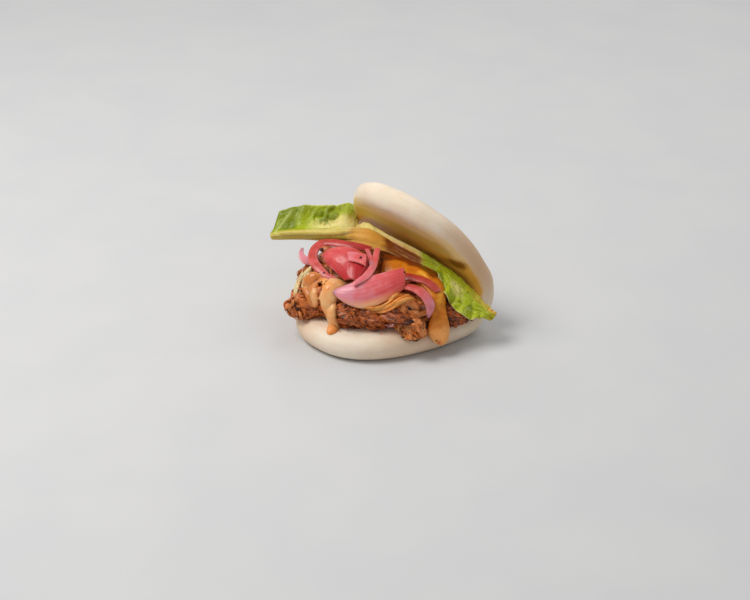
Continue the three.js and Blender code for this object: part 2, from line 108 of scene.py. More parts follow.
def linear(code: int) -> tuple[float, float, float, float]:
    """A 0xRRGGBB screen colour as the linear colour that shaders work in."""
    screen = np.array([(code >> shift) & 255 for shift in (16, 8, 0)]) / 255.0
    light = np.where(screen <= 0.04045, screen / 12.92, ((screen + 0.055) / 1.055) ** 2.4)
    return (float(light[0]), float(light[1]), float(light[2]), 1.0)


def through(knots: Array, shares: Array) -> Array:
    """A smooth curve through knots: a centripetal Catmull-Rom spline.

    Between two knots the curve is a cubic whose end slopes come from the square roots of
    the distances to the neighbouring knots; one more knot is mirrored beyond each end.

    Args:
        knots: k points, in an array of k rows and any further shape that ends in 3.
        shares: places along the knots, 0 at the first and 1 at the last.

    Returns:
        One row for each share, in the further shape of the knots.
    """
    ends = np.concatenate([2 * knots[:1] - knots[1:2], knots, 2 * knots[-1:] - knots[-2:-1]])
    place = np.clip(shares, 0.0, 1.0) * (len(knots) - 1)
    span = np.minimum(place.astype(int), len(knots) - 2)
    t = (place - span).reshape((-1,) + (1,) * (knots.ndim - 1))
    p0, p1, p2, p3 = (ends[span + k] for k in range(4))
    d0, d1, d2 = (
        np.maximum(np.sqrt(np.linalg.norm(b - a, axis=-1, keepdims=True)), 1e-4)
        for a, b in ((p0, p1), (p1, p2), (p2, p3))
    )
    m1 = ((p1 - p0) / d0 - (p2 - p0) / (d0 + d1) + (p2 - p1) / d1) * d1
    m2 = ((p2 - p1) / d1 - (p3 - p1) / (d1 + d2) + (p3 - p2) / d2) * d1
    square = -3 * p1 + 3 * p2 - 2 * m1 - m2
    cube = 2 * p1 - 2 * p2 + m1 + m2
    return p1 + t * (m1 + t * (square + t * cube))


def evenly(knots: Array, shares: Array) -> Array:
    """Points of the smooth curve through knots at shares of its length."""
    fine = np.linspace(0.0, 1.0, 401)
    points = through(knots, fine)
    steps = np.linalg.norm(np.diff(points, axis=0), axis=1)
    length = np.concatenate([[0.0], np.cumsum(steps)])
    return through(knots, np.interp(shares, length / length[-1], fine))


def full_turn(count: int) -> Array:
    """That many angles, evenly round a full turn."""
    return np.linspace(0.0, 2 * pi, count, endpoint=False)


def slopes(points: Array, axis: int) -> Array:
    """Unit tangents of a grid of points along one of its axes."""
    return unit(np.gradient(points, axis=axis))


def blurred(grid: Array, times: int) -> Array:
    """A grid averaged with its neighbours that many times, in both directions."""
    for _ in range(times):
        padded = np.pad(grid, 1, mode="edge")
        grid = (padded[:-2, 1:-1] + 2 * padded[1:-1, 1:-1] + padded[2:, 1:-1]) / 4
        padded = np.pad(grid, 1, mode="edge")
        grid = (padded[1:-1, :-2] + 2 * padded[1:-1, 1:-1] + padded[1:-1, 2:]) / 4
    return grid


def steady_draws(seed: int, count: int) -> list[float]:
    """Random numbers from 0 to 1 that the same seed always gives, by 32-bit mixing."""
    full = 0xFFFFFFFF
    state, draws = seed, []
    for _ in range(count):
        state = (state + 0x6D2B79F5) & full
        t = ((state ^ (state >> 15)) * (1 | state)) & full
        t = ((t + (((t ^ (t >> 7)) * (61 | t)) & full)) ^ t) & full
        draws.append(((t ^ (t >> 14)) & full) / (full + 1))
    return draws


class Grain:
    """Seeded noise in space: random values at lattice points, blended by soft steps."""

    def __init__(self, seed: int) -> None:
        """Draws the lattice's values."""
        rng = np.random.default_rng(seed)
        self.order = rng.permutation(256)
        self.value = rng.uniform(-1.0, 1.0, 256)

    def at(self, points: Array, size: float) -> Array:
        """Noise from -1 to 1 at points, with blots of about the given size."""
        scaled = points / size
        cell = np.floor(scaled).astype(int)
        t = scaled - cell
        t = t * t * (3.0 - 2.0 * t)
        total = np.zeros(points.shape[:-1])
        for corner in np.ndindex(2, 2, 2):
            x, y, z = (cell[..., k] + corner[k] for k in range(3))
            key = self.order[(self.order[(self.order[x & 255] + y) & 255] + z) & 255]
            weight = np.prod([t[..., k] if corner[k] else 1 - t[..., k] for k in range(3)], axis=0)
            total += self.value[key] * weight
        return total

    def layered(self, points: Array, size: float, layers: int = 3) -> Array:
        """The sum of noises that halve in size and in height, layer by layer."""
        return sum(self.at(points + 31.7 * k, size / 2**k) / 2**k for k in range(layers))


def cells(places: Array, seed: int) -> tuple[Array, Array]:
    """Distances to the nearest and the second nearest of one random point for each unit cell.

    Args:
        places: points on a plane, in an array that ends in 2.
        seed: what the random points come from.

    Returns:
        The nearest distance and the second nearest, in the shape of the places.
    """
    table = np.random.default_rng(seed).uniform(0.1, 0.9, (64, 64, 2))
    home = np.floor(places).astype(int)
    gaps = []
    for shift in np.ndindex(3, 3):
        cell = home + np.array(shift) - 1
        seedling = cell + table[cell[..., 0] % 64, cell[..., 1] % 64]
        gaps.append(np.linalg.norm(places - seedling, axis=-1))
    ordered = np.sort(np.stack(gaps), axis=0)
    return ordered[0], ordered[1]


# --- shells


@dataclass
class Shell:
    """A closed surface: its points in mm, its faces, and what is painted on its points."""

    points: Array
    faces: list[Array]
    uv: Array
    traits: Traits = field(default_factory=dict)

    def faced_outwards(self) -> "Shell":
        """The shell with its faces pointing out, which gives it a volume above zero."""
        total = 0.0
        for group in self.faces:
            for k in range(1, group.shape[1] - 1):
                a, b, c = (self.points[group[:, j]] for j in (0, k, k + 1))
                total += float(np.einsum("ij,ij->", a, np.cross(b, c)))
        if total < 0:
            self.faces = [group[:, ::-1] for group in self.faces]
        return self


def lofted(rings: Array, uv: Array, traits: Traits) -> Shell:
    """One closed surface through rings, given as for `lofted_many` but without the bodies."""
    return lofted_many(rings[None], uv[None], {name: values[None] for name, values in traits.items()})


def lofted_many(rings: Array, uv: Array, traits: Traits) -> Shell:
    """Many closed surfaces at once, each through its own rings and shut by a fan at both ends.

    Args:
        rings: points, in an array of bodies, rings, sides and 3.
        uv: UVs, in an array of bodies, rings, sides and 2.
        traits: numbers for each point by name, in arrays of bodies, rings and sides.

    Returns:
        One shell that holds all the bodies.
    """
    bodies, count, sides = rings.shape[:3]
    each = count * sides

    def with_ends(values: Array) -> Array:
        """The values of all points, body by body, with the two end points' after them."""
        tail = values.shape[3:]
        flat = values.reshape((bodies, each) + tail)
        first = values[:, 0].mean(axis=1)[:, None]
        last = values[:, -1].mean(axis=1)[:, None]
        return np.concatenate([flat, first, last], axis=1).reshape((-1,) + tail)

    start = (np.arange(bodies) * (each + 2))[:, None, None]
    ring = np.arange(count - 1)[None, :, None] * sides
    side = np.arange(sides)[None, None, :]
    after = (side + 1) % sides
    this, following = start + ring, start + ring + sides
    corners = [this + side, this + after, following + after, following + side]
    quads = np.stack(corners, axis=-1).reshape(-1, 4)
    begin, side, after = start[:, 0], side[0], after[0]
    rim = (count - 1) * sides
    first_fan = np.stack([begin + each + 0 * side, begin + after, begin + side], axis=-1)
    last_fan = np.stack([begin + each + 1 + 0 * side, begin + rim + side, begin + rim + after], axis=-1)
    fans = np.concatenate([first_fan.reshape(-1, 3), last_fan.reshape(-1, 3)])
    painted = {name: with_ends(values) for name, values in traits.items()}
    return Shell(with_ends(rings), [quads, fans], with_ends(uv), painted).faced_outwards()


def merged(shells: list[Shell]) -> Shell:
    """Several shells as one, in their order."""
    starts = np.cumsum([0] + [len(shell.points) for shell in shells])
    faces = [group + start for shell, start in zip(shells, starts) for group in shell.faces]
    traits = {
        name: np.concatenate([shell.traits[name] for shell in shells]) for name in shells[0].traits
    }
    points = np.concatenate([shell.points for shell in shells])
    return Shell(points, faces, np.concatenate([shell.uv for shell in shells]), traits)


@dataclass
class Sheet:
    """The middle surface of something thin: a grid of points with its outward side."""

    points: Array
    outs: Array
    u: Array
    v: Array

    @classmethod
    def from_grid(cls, points: Array, u: Array, v: Array) -> "Sheet":
        """A sheet from its grid; out is along the first axis crossed with the second."""
        outs = unit(np.cross(slopes(points, 0), slopes(points, 1)))
        return cls(points, outs, u, v)

    def lifted(self, height: Array) -> "Sheet":
        """The sheet moved along its outward side, with the new surface's own sides."""
        return Sheet.from_grid(self.points + self.outs * height[..., None], self.u, self.v)

    def thickened(self, thick: Array, edge_power: float, traits: Traits) -> Shell:
        """A closed body round the sheet, with rounded edges.

        Each row becomes a ring: out along the upper face and back along the lower one. The
        half thickness falls off as the root of 1 - |2v - 1|^power across the sheet, and in
        the same way along it.

        Args:
            thick: the thickness in mm at each grid point.
            edge_power: how close to the edges the rounding stays.
            traits: numbers for each grid point, by name.

        Returns:
            The closed body.
        """
        across = np.sqrt(np.clip(1 - np.abs(2 * self.v - 1) ** edge_power, 0.0, 1.0))
        along = np.sqrt(np.clip(1 - np.abs(2 * self.u - 1) ** (3 * edge_power), 0.02, 1.0))
        half = (thick / 2) * across * along

        def ring(upper: Array, lower: Array) -> Array:
            """Values out along the upper face and back along the lower one."""
            return np.concatenate([upper, lower[:, -2:0:-1]], axis=1)

        step = self.outs * half[..., None]
        rings = ring(self.points + step, self.points - step)
        uv = np.stack([self.u, self.v], axis=-1)
        painted = {name: ring(values, values) for name, values in traits.items()}
        return lofted(rings, ring(uv, uv), painted)

    def blanket(self, above: Array, below: float, keep: Array, traits: Traits) -> Shell:
        """A closed body on part of the sheet: its top, its underside and a wall round it.

        Args:
            above: how far the top lies over the sheet, in mm, at each grid point.
            below: how far the underside lies under it.
            keep: which grid points belong to it.
            traits: numbers for each grid point, by name.

        Returns:
            The closed body.
        """
        rows, columns = keep.shape
        index = np.arange(rows * columns).reshape(rows, columns)
        corners = np.stack([index[:-1, :-1], index[1:, :-1], index[1:, 1:], index[:-1, 1:]], axis=-1)
        quads = corners.reshape(-1, 4)[keep.ravel()[corners.reshape(-1, 4)].all(axis=1)]
        used, quads = np.unique(quads, return_inverse=True)
        quads = quads.reshape(-1, 4)
        count = len(used)
        edges = np.stack([quads, np.roll(quads, -1, axis=1)], axis=-1).reshape(-1, 2)
        code = edges[:, 0] * count + edges[:, 1]
        open_edges = edges[~np.isin(code, edges[:, 1] * count + edges[:, 0])]
        a, b = open_edges[:, 0], open_edges[:, 1]
        walls = np.stack([b, a, a + count, b + count], axis=-1)
        middle = self.points.reshape(-1, 3)[used]
        outs = self.outs.reshape(-1, 3)[used]
        points = np.concatenate([middle + outs * above.ravel()[used][:, None], middle - outs * below])
        uv = np.stack([self.u, self.v], axis=-1).reshape(-1, 2)[used]
        painted = {name: np.tile(values.ravel()[used], 2) for name, values in traits.items()}
        faces = [np.concatenate([quads, quads[:, ::-1] + count, walls])]
        return Shell(points, faces, np.concatenate([uv, uv]), painted).faced_outwards()


def edge_dense(count: int) -> Array:
    """Shares from 0 to 1 that lie closer together towards both ends."""
    return 0.5 - 0.5 * np.cos(np.linspace(0.0, pi, count))


@dataclass(frozen=True)
class Bench:
    """Moves shapes from the bun's own frame, in mm, into the row frame, in metres."""

    shift: Point

    def metres(self, points: Array) -> Array:
        """Points of the bun's frame in the row frame."""
        return (points + np.array(self.shift)) * MM


class Kitchen:
    """Makes pieces of the scene from shells and keeps what each one shows."""

    def __init__(self, bench: Bench) -> None:
        """Keeps where shapes go."""
        self.bench = bench
        self.shown: dict[str, tuple[Array, Array]] = {}

    def plate(
        self, name: str, shell: Shell, material: bpy.types.Material, slot: Slot, *nodes: str
    ) -> None:
        """Makes a piece that rides on the one body and stands for its CAD nodes.

        Args:
            name: the piece's name.
            shell: its surface, in the bun's frame.
            material: its finish.
            slot: the record's slot that the finish belongs to; not used.
            nodes: the CAD nodes that the piece replaces.
        """
        mesh = bpy.data.meshes.new(name)
        sizes = np.concatenate([np.full(len(g), g.shape[1]) for g in shell.faces])
        corners = np.concatenate([g.ravel() for g in shell.faces]).astype(np.int32)
        mesh.vertices.add(len(shell.points))
        mesh.vertices.foreach_set("co", self.bench.metres(shell.points).astype(np.float32).ravel())
        mesh.loops.add(len(corners))
        mesh.loops.foreach_set("vertex_index", corners)
        mesh.polygons.add(len(sizes))
        starts = np.concatenate([[0], np.cumsum(sizes)[:-1]]).astype(np.int32)
        mesh.polygons.foreach_set("loop_start", starts)
        mesh.polygons.foreach_set("use_smooth", np.ones(len(sizes), bool))
        layer = mesh.uv_layers.new(name="surface")
        layer.data.foreach_set("uv", shell.uv[corners].astype(np.float32).ravel())
        for trait, values in shell.traits.items():
            painted = mesh.attributes.new(trait, "FLOAT", "POINT")
            painted.data.foreach_set("value", values.astype(np.float32))
        mesh.update(calc_edges=True)
        mesh.validate()
        mesh.materials.append(material)
        piece = bpy.data.objects.new(name, mesh)
        bpy.context.scene.collection.objects.link(piece)
        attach(piece, "root")
        if nodes:
            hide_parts(*nodes)
        outs = np.empty(len(shell.points) * 3, np.float32)
        mesh.vertex_normals.foreach_get("vector", outs)
        self.shown[name] = (shell.points, outs.reshape(-1, 3).astype(float))
        log.info("%s: %d points, %d faces, stands for %s", name, len(shell.points), len(sizes), nodes)


# --- finishes


@dataclass(frozen=True)
class Body:
    """What is the same all over a finish: gloss, light carried inside, and coat."""

    roughness: float = 0.5
    inside: float = 0.0
    inside_reach: Point = (1.0, 0.6, 0.4)
    inside_mm: float = 2.0
    coat: float = 0.0
    coat_roughness: float = 0.1
    specular: float = 0.5
    ior: float = 1.45


class Value:
    """What a material's nodes work out: a number that can be added to and multiplied, or a colour."""

    def __init__(self, paint: "Paint", socket: bpy.types.NodeSocket) -> None:
        """Keeps the paint that it belongs to and the output that carries it."""
        self.paint = paint
        self.socket = socket

    def __add__(self, other: "Value | float") -> "Value":
        """The sum."""
        return self.paint.math("ADD", self, other)

    def __sub__(self, other: "Value | float") -> "Value":
        """The difference."""
        return self.paint.math("SUBTRACT", self, other)

    def __mul__(self, other: "Value | float") -> "Value":
        """The product."""
        return self.paint.math("MULTIPLY", self, other)

    def step(self, low: float, high: float, to: tuple[float, float] = (0.0, 1.0)) -> "Value":
        """The value brought from the range low to high to another range, with soft ends."""
        made = self.paint.node("ShaderNodeMapRange", interpolation_type="SMOOTHSTEP")
        for name, setting in zip(("From Min", "From Max", "To Min", "To Max"), (low, high, *to)):
            made.inputs[name].default_value = setting
        self.paint.feed(made.inputs["Value"], self)
        return Value(self.paint, made.outputs["Result"])


class Paint:
    """A Principled material that is being built, with colours laid one over another."""

    def __init__(self, name: str, body: Body, base: int = 0xFFFFFF) -> None:
        """Starts the material and sets what is constant on the shader's own sockets."""
        self.material = bpy.data.materials.new(name)
        self.material.use_nodes = True
        self.tree = self.material.node_tree
        self.shader = self.tree.nodes["Principled BSDF"]
        self.base: Value | int = base
        for socket, setting in (
            ("Roughness", body.roughness),
            ("Subsurface Weight", body.inside),
            ("Subsurface Radius", body.inside_reach),
            ("Subsurface Scale", body.inside_mm * MM),
            ("Coat Weight", body.coat),
            ("Coat Roughness", body.coat_roughness),
            ("Specular IOR Level", body.specular),
            ("IOR", body.ior),
        ):
            self.shader.inputs[socket].default_value = setting

    def node(self, kind: str, **settings: object) -> bpy.types.Node:
        """A new node of that kind with the settings given."""
        made = self.tree.nodes.new(kind)
        for key, value in settings.items():
            setattr(made, key, value)
        return made

    def feed(self, socket: bpy.types.NodeSocket, value: Value | float) -> None:
        """Links a value to the socket, or sets a plain number or a screen colour on it."""
        if isinstance(value, Value):
            self.tree.links.new(value.socket, socket)
        elif socket.type == "RGBA":
            socket.default_value = linear(value)
        else:
            socket.default_value = value

    def trait(self, name: str) -> Value:
        """The number that the piece's points carry under that name."""
        return Value(self, self.node("ShaderNodeAttribute", attribute_name=name).outputs["Fac"])

    def place(self, stretch: Point = (1, 1, 1), on_uv: bool = False) -> Value:
        """Object coordinates in mm, or the piece's UV map, stretched along each axis."""
        scale = 1.0 if on_uv else 1.0 / MM
        mapping = self.node("ShaderNodeMapping")
        mapping.inputs["Scale"].default_value = [scale * s for s in stretch]
        source = self.node("ShaderNodeTexCoord").outputs["UV" if on_uv else "Object"]
        self.feed(mapping.inputs["Vector"], Value(self, source))
        return Value(self, mapping.outputs["Vector"])

    def noise(
        self,
        size: float,
        stretch: Point = (1, 1, 1),
        detail: float = 4.0,
        roughness: float = 0.55,
        distortion: float = 0.0,
        on_uv: bool = False,
        on: Value | None = None,
    ) -> Value:
        """Noise from 0 to 1 with blots of about that size, in mm, in UV or on a given vector."""
        made = self.node("ShaderNodeTexNoise")
        made.inputs["Scale"].default_value = 1.0 / size
        made.inputs["Detail"].default_value = detail
        made.inputs["Roughness"].default_value = roughness
        made.inputs["Distortion"].default_value = distortion
        self.feed(made.inputs["Vector"], on or self.place(stretch, on_uv))
        return Value(self, made.outputs["Fac"])

    def combed(self) -> Value:
        """Coordinates in mm that change slowly round the piece and quickly out to its rim."""
        made = self.node("ShaderNodeCombineXYZ")
        for socket, name in zip(made.inputs, ("comb_x", "comb_y", "comb_out")):
            self.feed(socket, self.trait(name))
        return Value(self, made.outputs[0])

    def web(self, size: float) -> Value:
        """Distance to the borders of a net of cells of that size in mm."""
        made = self.node("ShaderNodeTexVoronoi", feature="DISTANCE_TO_EDGE")
        made.inputs["Scale"].default_value = 1.0 / size
        self.feed(made.inputs["Vector"], self.place())
        return Value(self, made.outputs["Distance"])

    def math(self, operation: str, a: Value, b: Value | float) -> Value:
        """One step of arithmetic on two numbers."""
        made = self.node("ShaderNodeMath", operation=operation)
        self.feed(made.inputs[0], a)
        self.feed(made.inputs[1], b)
        return Value(self, made.outputs[0])

    def lay(self, colour: int, share: Value) -> None:
        """Covers a share of the colour so far with another colour."""
        made = self.node("ShaderNodeMix", data_type="RGBA")
        self.feed(made.inputs[0], share)
        self.feed(made.inputs[6], self.base)
        self.feed(made.inputs[7], colour)
        self.base = Value(self, made.outputs[2])

    def ramp(self, value: Value, *stops: tuple[float, int]) -> None:
        """Takes the colour from the value, blended between stops of a place and a colour."""
        made = self.node("ShaderNodeValToRGB")
        points = made.color_ramp.elements
        while len(points) < len(stops):
            points.new(0.5)
        for point, (place, code) in zip(points, stops):
            point.position = place
            point.color = linear(code)
        self.feed(made.inputs["Fac"], value)
        self.base = Value(self, made.outputs["Color"])

    def finish(self, height: Value, height_mm: float, roughness: Value | None = None) -> bpy.types.Material:
        """Joins the colour, a relief that deep and, where the gloss varies, the roughness."""
        self.feed(self.shader.inputs["Base Color"], self.base)
        bump = self.node("ShaderNodeBump")
        bump.inputs["Strength"].default_value = 1.0
        bump.inputs["Distance"].default_value = height_mm * MM
        self.feed(bump.inputs["Height"], height)
        self.feed(self.shader.inputs["Normal"], Value(self, bump.outputs["Normal"]))
        if roughness is not None:
            self.feed(self.shader.inputs["Roughness"], roughness)
        return self.material


@dataclass(frozen=True)
class SteamedDough:
    """Smooth, slightly shiny white dough, warm and greasy where the filling touches it, with painted shade
    there and on its rim.
    """

    rim: int = 0xEBD8C0
    bloom: int = 0xF2E3CF
    streak: int = 0xD9BE98
    shade: int = 0xD9AE84
    tan: int = 0xE8C686
    olive: int = 0xD2AE44
    gold: int = 0xE09E34
    grease: int = 0x7A4206
    body: Body = Body(0.5, 0.3, (1.0, 0.6, 0.35), 2.5, 0.05, 0.4, 0.25)

    def material(self) -> bpy.types.Material:
        """Builds the dough: streaks round the rim, painted shade on the rim, a tan inside that is part stain
        and part painted shade, and small pits.
        """
        paint = Paint("steamed_dough", self.body, self.rim)
        paint.lay(self.bloom, paint.noise(16.0, detail=4.0).step(0.35, 0.65))
        along = paint.combed()
        paint.lay(self.streak, paint.noise(1.3, detail=3.0, on=along).step(0.5, 0.78, (0.0, 0.3)))
        # Painted shade with a warm painted reflection on the rim's far side and on the lower half's ends.
        paint.lay(self.shade, paint.trait("shade") * 0.8)
        edge = paint.noise(6.0, detail=6.0, roughness=0.6) - 0.5
        brushed = paint.noise(1.8, detail=5.0, roughness=0.6, on=along) - 0.5
        drift = edge * 0.5 + brushed * 0.9
        # The inner face's tan, olive, gold and dark brown: partly grease stain, partly painted shade with a
        # warm painted reflection under the lid and along the leaf's edge.
        for name, low, high, most, colour in (
            ("tan", 0.05, 0.8, 0.95, self.tan),
            ("olive", 0.15, 0.9, 0.85, self.olive),
            ("gold", 0.1, 0.9, 0.92, self.gold),
            ("grease", 0.2, 0.85, 0.92, self.grease),
        ):
            share = (paint.trait(name) + drift).step(low, high, (0.0, most))
            paint.lay(colour, share * paint.trait(name).step(0.0, 0.3))
        height = paint.noise(0.5, detail=2.0) * 0.2 + paint.noise(3.5, detail=5.0) * 0.4
        greasy = paint.math("MAXIMUM", paint.trait("gold"), paint.trait("grease"))
        gloss = greasy.step(0.1, 0.9, (0.52, 0.34))
        return paint.finish(height + brushed * (paint.trait("tan") * 0.8), 0.3, gloss)


@dataclass(frozen=True)
class LettuceGreen:
    """Crisp lettuce: pale ribs and veins, lime blade, darker green partly as painted shade in pockets and
    folds, golden and umber painted shade with a warm painted reflection under the bun's fold.
    """

    pale: int = 0xE6D68A
    lime: int = 0xA8B408
    deep: int = 0x728200
    vein: int = 0xDFE38A
    olive: int = 0xC4A82C
    ochre: int = 0xE2A23A
    umber: int = 0x7C3602
    edge: int = 0xECDD96
    body: Body = Body(0.4, 0.45, (0.8, 1.0, 0.15), 1.6, 0.12, 0.25, 0.25)

    def material(self) -> bpy.types.Material:
        """Builds the leaf from the traits that its sheet carries."""
        paint = Paint("lettuce_green", self.body, self.pale)
        blotch = paint.noise(3.5, detail=5.0) - 0.5
        stripes = paint.noise(0.05, (0.22, 1.3, 1.0), detail=3.0, on_uv=True) - 0.5
        green, rib = paint.trait("green"), paint.trait("rib")
        paint.lay(self.lime, (green + blotch * 0.5).step(0.1, 0.8))
        # deep is the leaf's own darker green and painted shade in pockets, folds and hollows; ochre and
        # umber are painted shade with a warm painted reflection under the bun's fold, ochre also a tan near
        # end.
        for name, wander, streaky, low, high, most, colour in (
            ("olive", 0.4, 1.2, 0.1, 0.8, 0.9, self.olive),
            ("deep", 0.6, 0.0, 0.2, 0.9, 0.85, self.deep),
            ("ochre", 0.5, 1.2, 0.15, 0.95, 0.92, self.ochre),
            ("umber", 0.6, 0.9, 0.3, 1.0, 0.95, self.umber),
        ):
            drift = blotch * wander + stripes * streaky
            share = (paint.trait(name) + drift).step(low, high, (0.0, most))
            paint.lay(colour, share * paint.trait(name).step(0.0, 0.2))
        paint.lay(self.edge, stripes.step(0.02, 0.2) * rib * 0.45)
        paint.lay(self.umber, stripes.step(-0.05, -0.2) * rib * 0.3)
        fine_net = paint.web(2.3).step(0.0, 0.09, (1.0, 0.0)) * (green * 0.25)
        paint.lay(self.vein, paint.math("MAXIMUM", paint.trait("vein"), fine_net) * 0.5)
        paint.lay(self.edge, paint.trait("edge") * 0.7)
        paint.lay(self.deep, paint.noise(0.7, detail=1.0).step(0.69, 0.75, (0.0, 0.45)) * green)
        height = paint.noise(0.9, detail=3.0) * 0.5 + paint.web(2.3).step(0.0, 0.3) * 0.3
        return paint.finish(height + stripes * (rib * 0.9), 0.26)


@dataclass(frozen=True)
class PickledOnion:
    """Glassy pickled onion with faint lengthwise lines, pale where the slice is thin."""

    lilac: int = 0xE494A0
    coral: int = 0xE45E5C
    crimson: int = 0xC2282E
    light_line: int = 0xF0A6A4
    dark_line: int = 0xB83440
    pale: int = 0xF2B8A8
    peach: int = 0xFFBE88
    umber: int = 0x9A3A12
    body: Body = Body(0.28, 0.5, (1.0, 0.3, 0.25), 2.0, 0.25, 0.12, 0.3)

    def material(self) -> bpy.types.Material:
        """Builds the slice from how red it is, how near its edge and how much umber darkens it."""
        paint = Paint("pickled_onion", self.body)
        clouds = (paint.noise(4.0, detail=5.0) - 0.5) * 0.7
        red = paint.trait("blush") + clouds
        paint.ramp(red, (0.05, self.lilac), (0.5, self.coral), (1.0, self.crimson))
        lines = paint.noise(0.045, (0.1, 1.0, 1.0), detail=4.0, on_uv=True)
        paint.lay(self.light_line, lines.step(0.5, 0.72, (0.0, 0.22)))
        paint.lay(self.dark_line, lines.step(0.5, 0.3, (0.0, 0.25)))
        paint.lay(self.pale, paint.trait("edge") * 0.4)
        paint.lay(self.peach, paint.trait("lower") * clouds.step(-0.3, 0.1, (0.6, 1.0)))
        # Umber darkening of whole slices, strongest on the back slice, the ring and the hanging slice.
        paint.lay(self.umber, (paint.trait("oily") + clouds).step(0.1, 0.9, (0.0, 0.9)))
        return paint.finish(lines * 0.3 + paint.noise(1.2) * 0.3, 0.16)


@dataclass(frozen=True)
class MeltedCheese:
    """Melted orange cheese: smooth, glossy, lighter where it thins towards the tip."""

    amber: int = 0xCF7210
    gold: int = 0xDE8C1A
    honey: int = 0xF0A82C
    peach: int = 0xEBA45A
    brown: int = 0x7A3004
    spot: int = 0xC2440E
    body: Body = Body(0.34, 0.4, (1.0, 0.5, 0.15), 2.4, 0.2, 0.15, 0.3)

    def material(self) -> bpy.types.Material:
        """Builds the cheese with painted shadow under the leaf, painted light as a honey glow on the heap
        and at the bend, and its paler tip.
        """
        paint = Paint("melted_cheese", self.body, self.amber)
        clouds = paint.noise(3.5, detail=5.0) - 0.5
        paint.lay(self.gold, clouds.step(-0.15, 0.3))
        # Honey: painted light on part of the heap and at the bend.
        paint.lay(self.honey, (paint.trait("honey") + clouds).step(0.2, 0.8))
        paint.lay(self.peach, (paint.trait("tip") + clouds * 0.9).step(0.2, 0.9))
        # Brown: painted shadow where the leaf hangs over the cheese.
        paint.lay(self.brown, (paint.trait("dark") + clouds).step(0.15, 0.8, (0.0, 0.95)))
        paint.lay(self.spot, paint.trait("spot") * 0.85)
        paint.lay(self.spot, paint.noise(0.8, detail=1.0).step(0.68, 0.75, (0.0, 0.5)))
        return paint.finish(paint.noise(2.2) * 0.9 + paint.noise(0.5) * 0.2, 0.4)


@dataclass(frozen=True)
class SpicedMayonnaise:
    """Peach-orange mayonnaise, creamy and glossy, with specks of spice in it."""

    cream: int = 0xEDB67C
    peach: int = 0xF0A058
    orange: int = 0xF29038
    stain: int = 0xC8702C
    speck: int = 0x5E2A0C
    body: Body = Body(0.3, 0.4, (1.0, 0.55, 0.22), 1.8, 0.25, 0.12, 0.3)

    def material(self) -> bpy.types.Material:
        """Builds the sauce, more orange where it is thick or has run down."""
        paint = Paint("spiced_mayonnaise", self.body)
        clouds = (paint.noise(3.0, detail=5.0, distortion=0.6) - 0.5) * 0.9
        rich = paint.trait("rich") + clouds
        paint.ramp(rich, (0.1, self.cream), (0.5, self.peach), (0.95, self.orange))
        paint.lay(self.stain, (paint.trait("stained") + clouds).step(0.1, 0.9, (0.0, 0.8)))
        paint.lay(self.stain, paint.noise(2.2, detail=4.0).step(0.62, 0.78, (0.0, 0.4)))
        paint.lay(self.speck, paint.noise(0.5, detail=1.0).step(0.72, 0.76, (0.0, 0.7)))
        return paint.finish(paint.noise(2.0) * 0.6 + paint.noise(0.45) * 0.15, 0.25)


@dataclass(frozen=True)
class PaleFibre:
    """Pale straw coloured fibres with oil on them."""

    straw: int = 0xF4DCA8
    tan: int = 0xD8A868
    body: Body = Body(0.35, 0.4, (1.0, 0.7, 0.4), 1.2, 0.2, 0.2, 0.3)

    def material(self) -> bpy.types.Material:
        """Builds the fibres' streaked colour."""
        paint = Paint("pale_fibre", self.body, self.straw)
        streaks = paint.noise(0.08, (0.2, 1.0, 1.0), detail=4.0, on_uv=True)
        paint.lay(self.tan, streaks.step(0.4, 0.65))
        return paint.finish(streaks + paint.noise(0.6), 0.12)


@dataclass(frozen=True)
class PulledPorkGlaze:
    """Shredded, browned meat with a wet orange-brown glaze and burnt bits."""

    char: int = 0x2A1006
    brown: int = 0x78340E
    russet: int = 0xBE5C1C
    tan: int = 0xE89654
    amber: int = 0xE07420
    body: Body = Body(0.36, 0.25, (1.0, 0.4, 0.2), 1.2, 0.3, 0.2, 0.4)

    def material(self) -> bpy.types.Material:
        """Builds the meat from each shred's tone, with painted shade in the grooves between its fibres, in
        deep pits and under the shreds.
        """
        paint = Paint("pulled_pork_glaze", self.body)
        grain = paint.noise(0.05, (0.12, 1.0, 1.0), detail=4.0, on_uv=True)
        mottle = (paint.noise(1.3, detail=6.0, roughness=0.7) - 0.5) * 1.3
        tone = paint.trait("tone") + (grain - 0.5) * 0.8 + mottle
        paint.ramp(tone, (0.0, self.char), (0.25, self.brown), (0.55, self.russet), (1.0, self.tan))
        glazed = paint.noise(3.2, detail=4.0) + paint.trait("saucy")
        paint.lay(self.amber, glazed.step(0.45, 0.8, (0.0, 0.75)))
        # Charred spots at random.
        burnt = paint.noise(1.7, detail=5.0, roughness=0.7)
        paint.lay(self.char, burnt.step(0.56, 0.64, (0.0, 0.85)))
        # Painted shade in grooves, pits and on the shreds' undersides.
        paint.lay(self.char, paint.trait("groove") * 0.45)
        paint.lay(self.char, paint.trait("depth").step(0.2, 1.0, (0.0, 0.85)))
        height = grain * 0.6 + paint.noise(0.6, detail=4.0) * 0.7
        return paint.finish(height, 0.4, paint.noise(1.7).step(0.35, 0.7, (0.26, 0.5)))


@dataclass(frozen=True)
class CrackedPepper:
    """Black pepper: dark flakes with a few brown faces."""

    black: int = 0x1C110D
    brown: int = 0x4A2416
    body: Body = Body(0.6)

    def material(self) -> bpy.types.Material:
        """Builds the flakes' colour and roughness."""
        paint = Paint("cracked_pepper", self.body, self.black)
        paint.lay(self.brown, paint.noise(0.4, detail=2.0).step(0.45, 0.7))
        return paint.finish(paint.noise(0.15), 0.1)


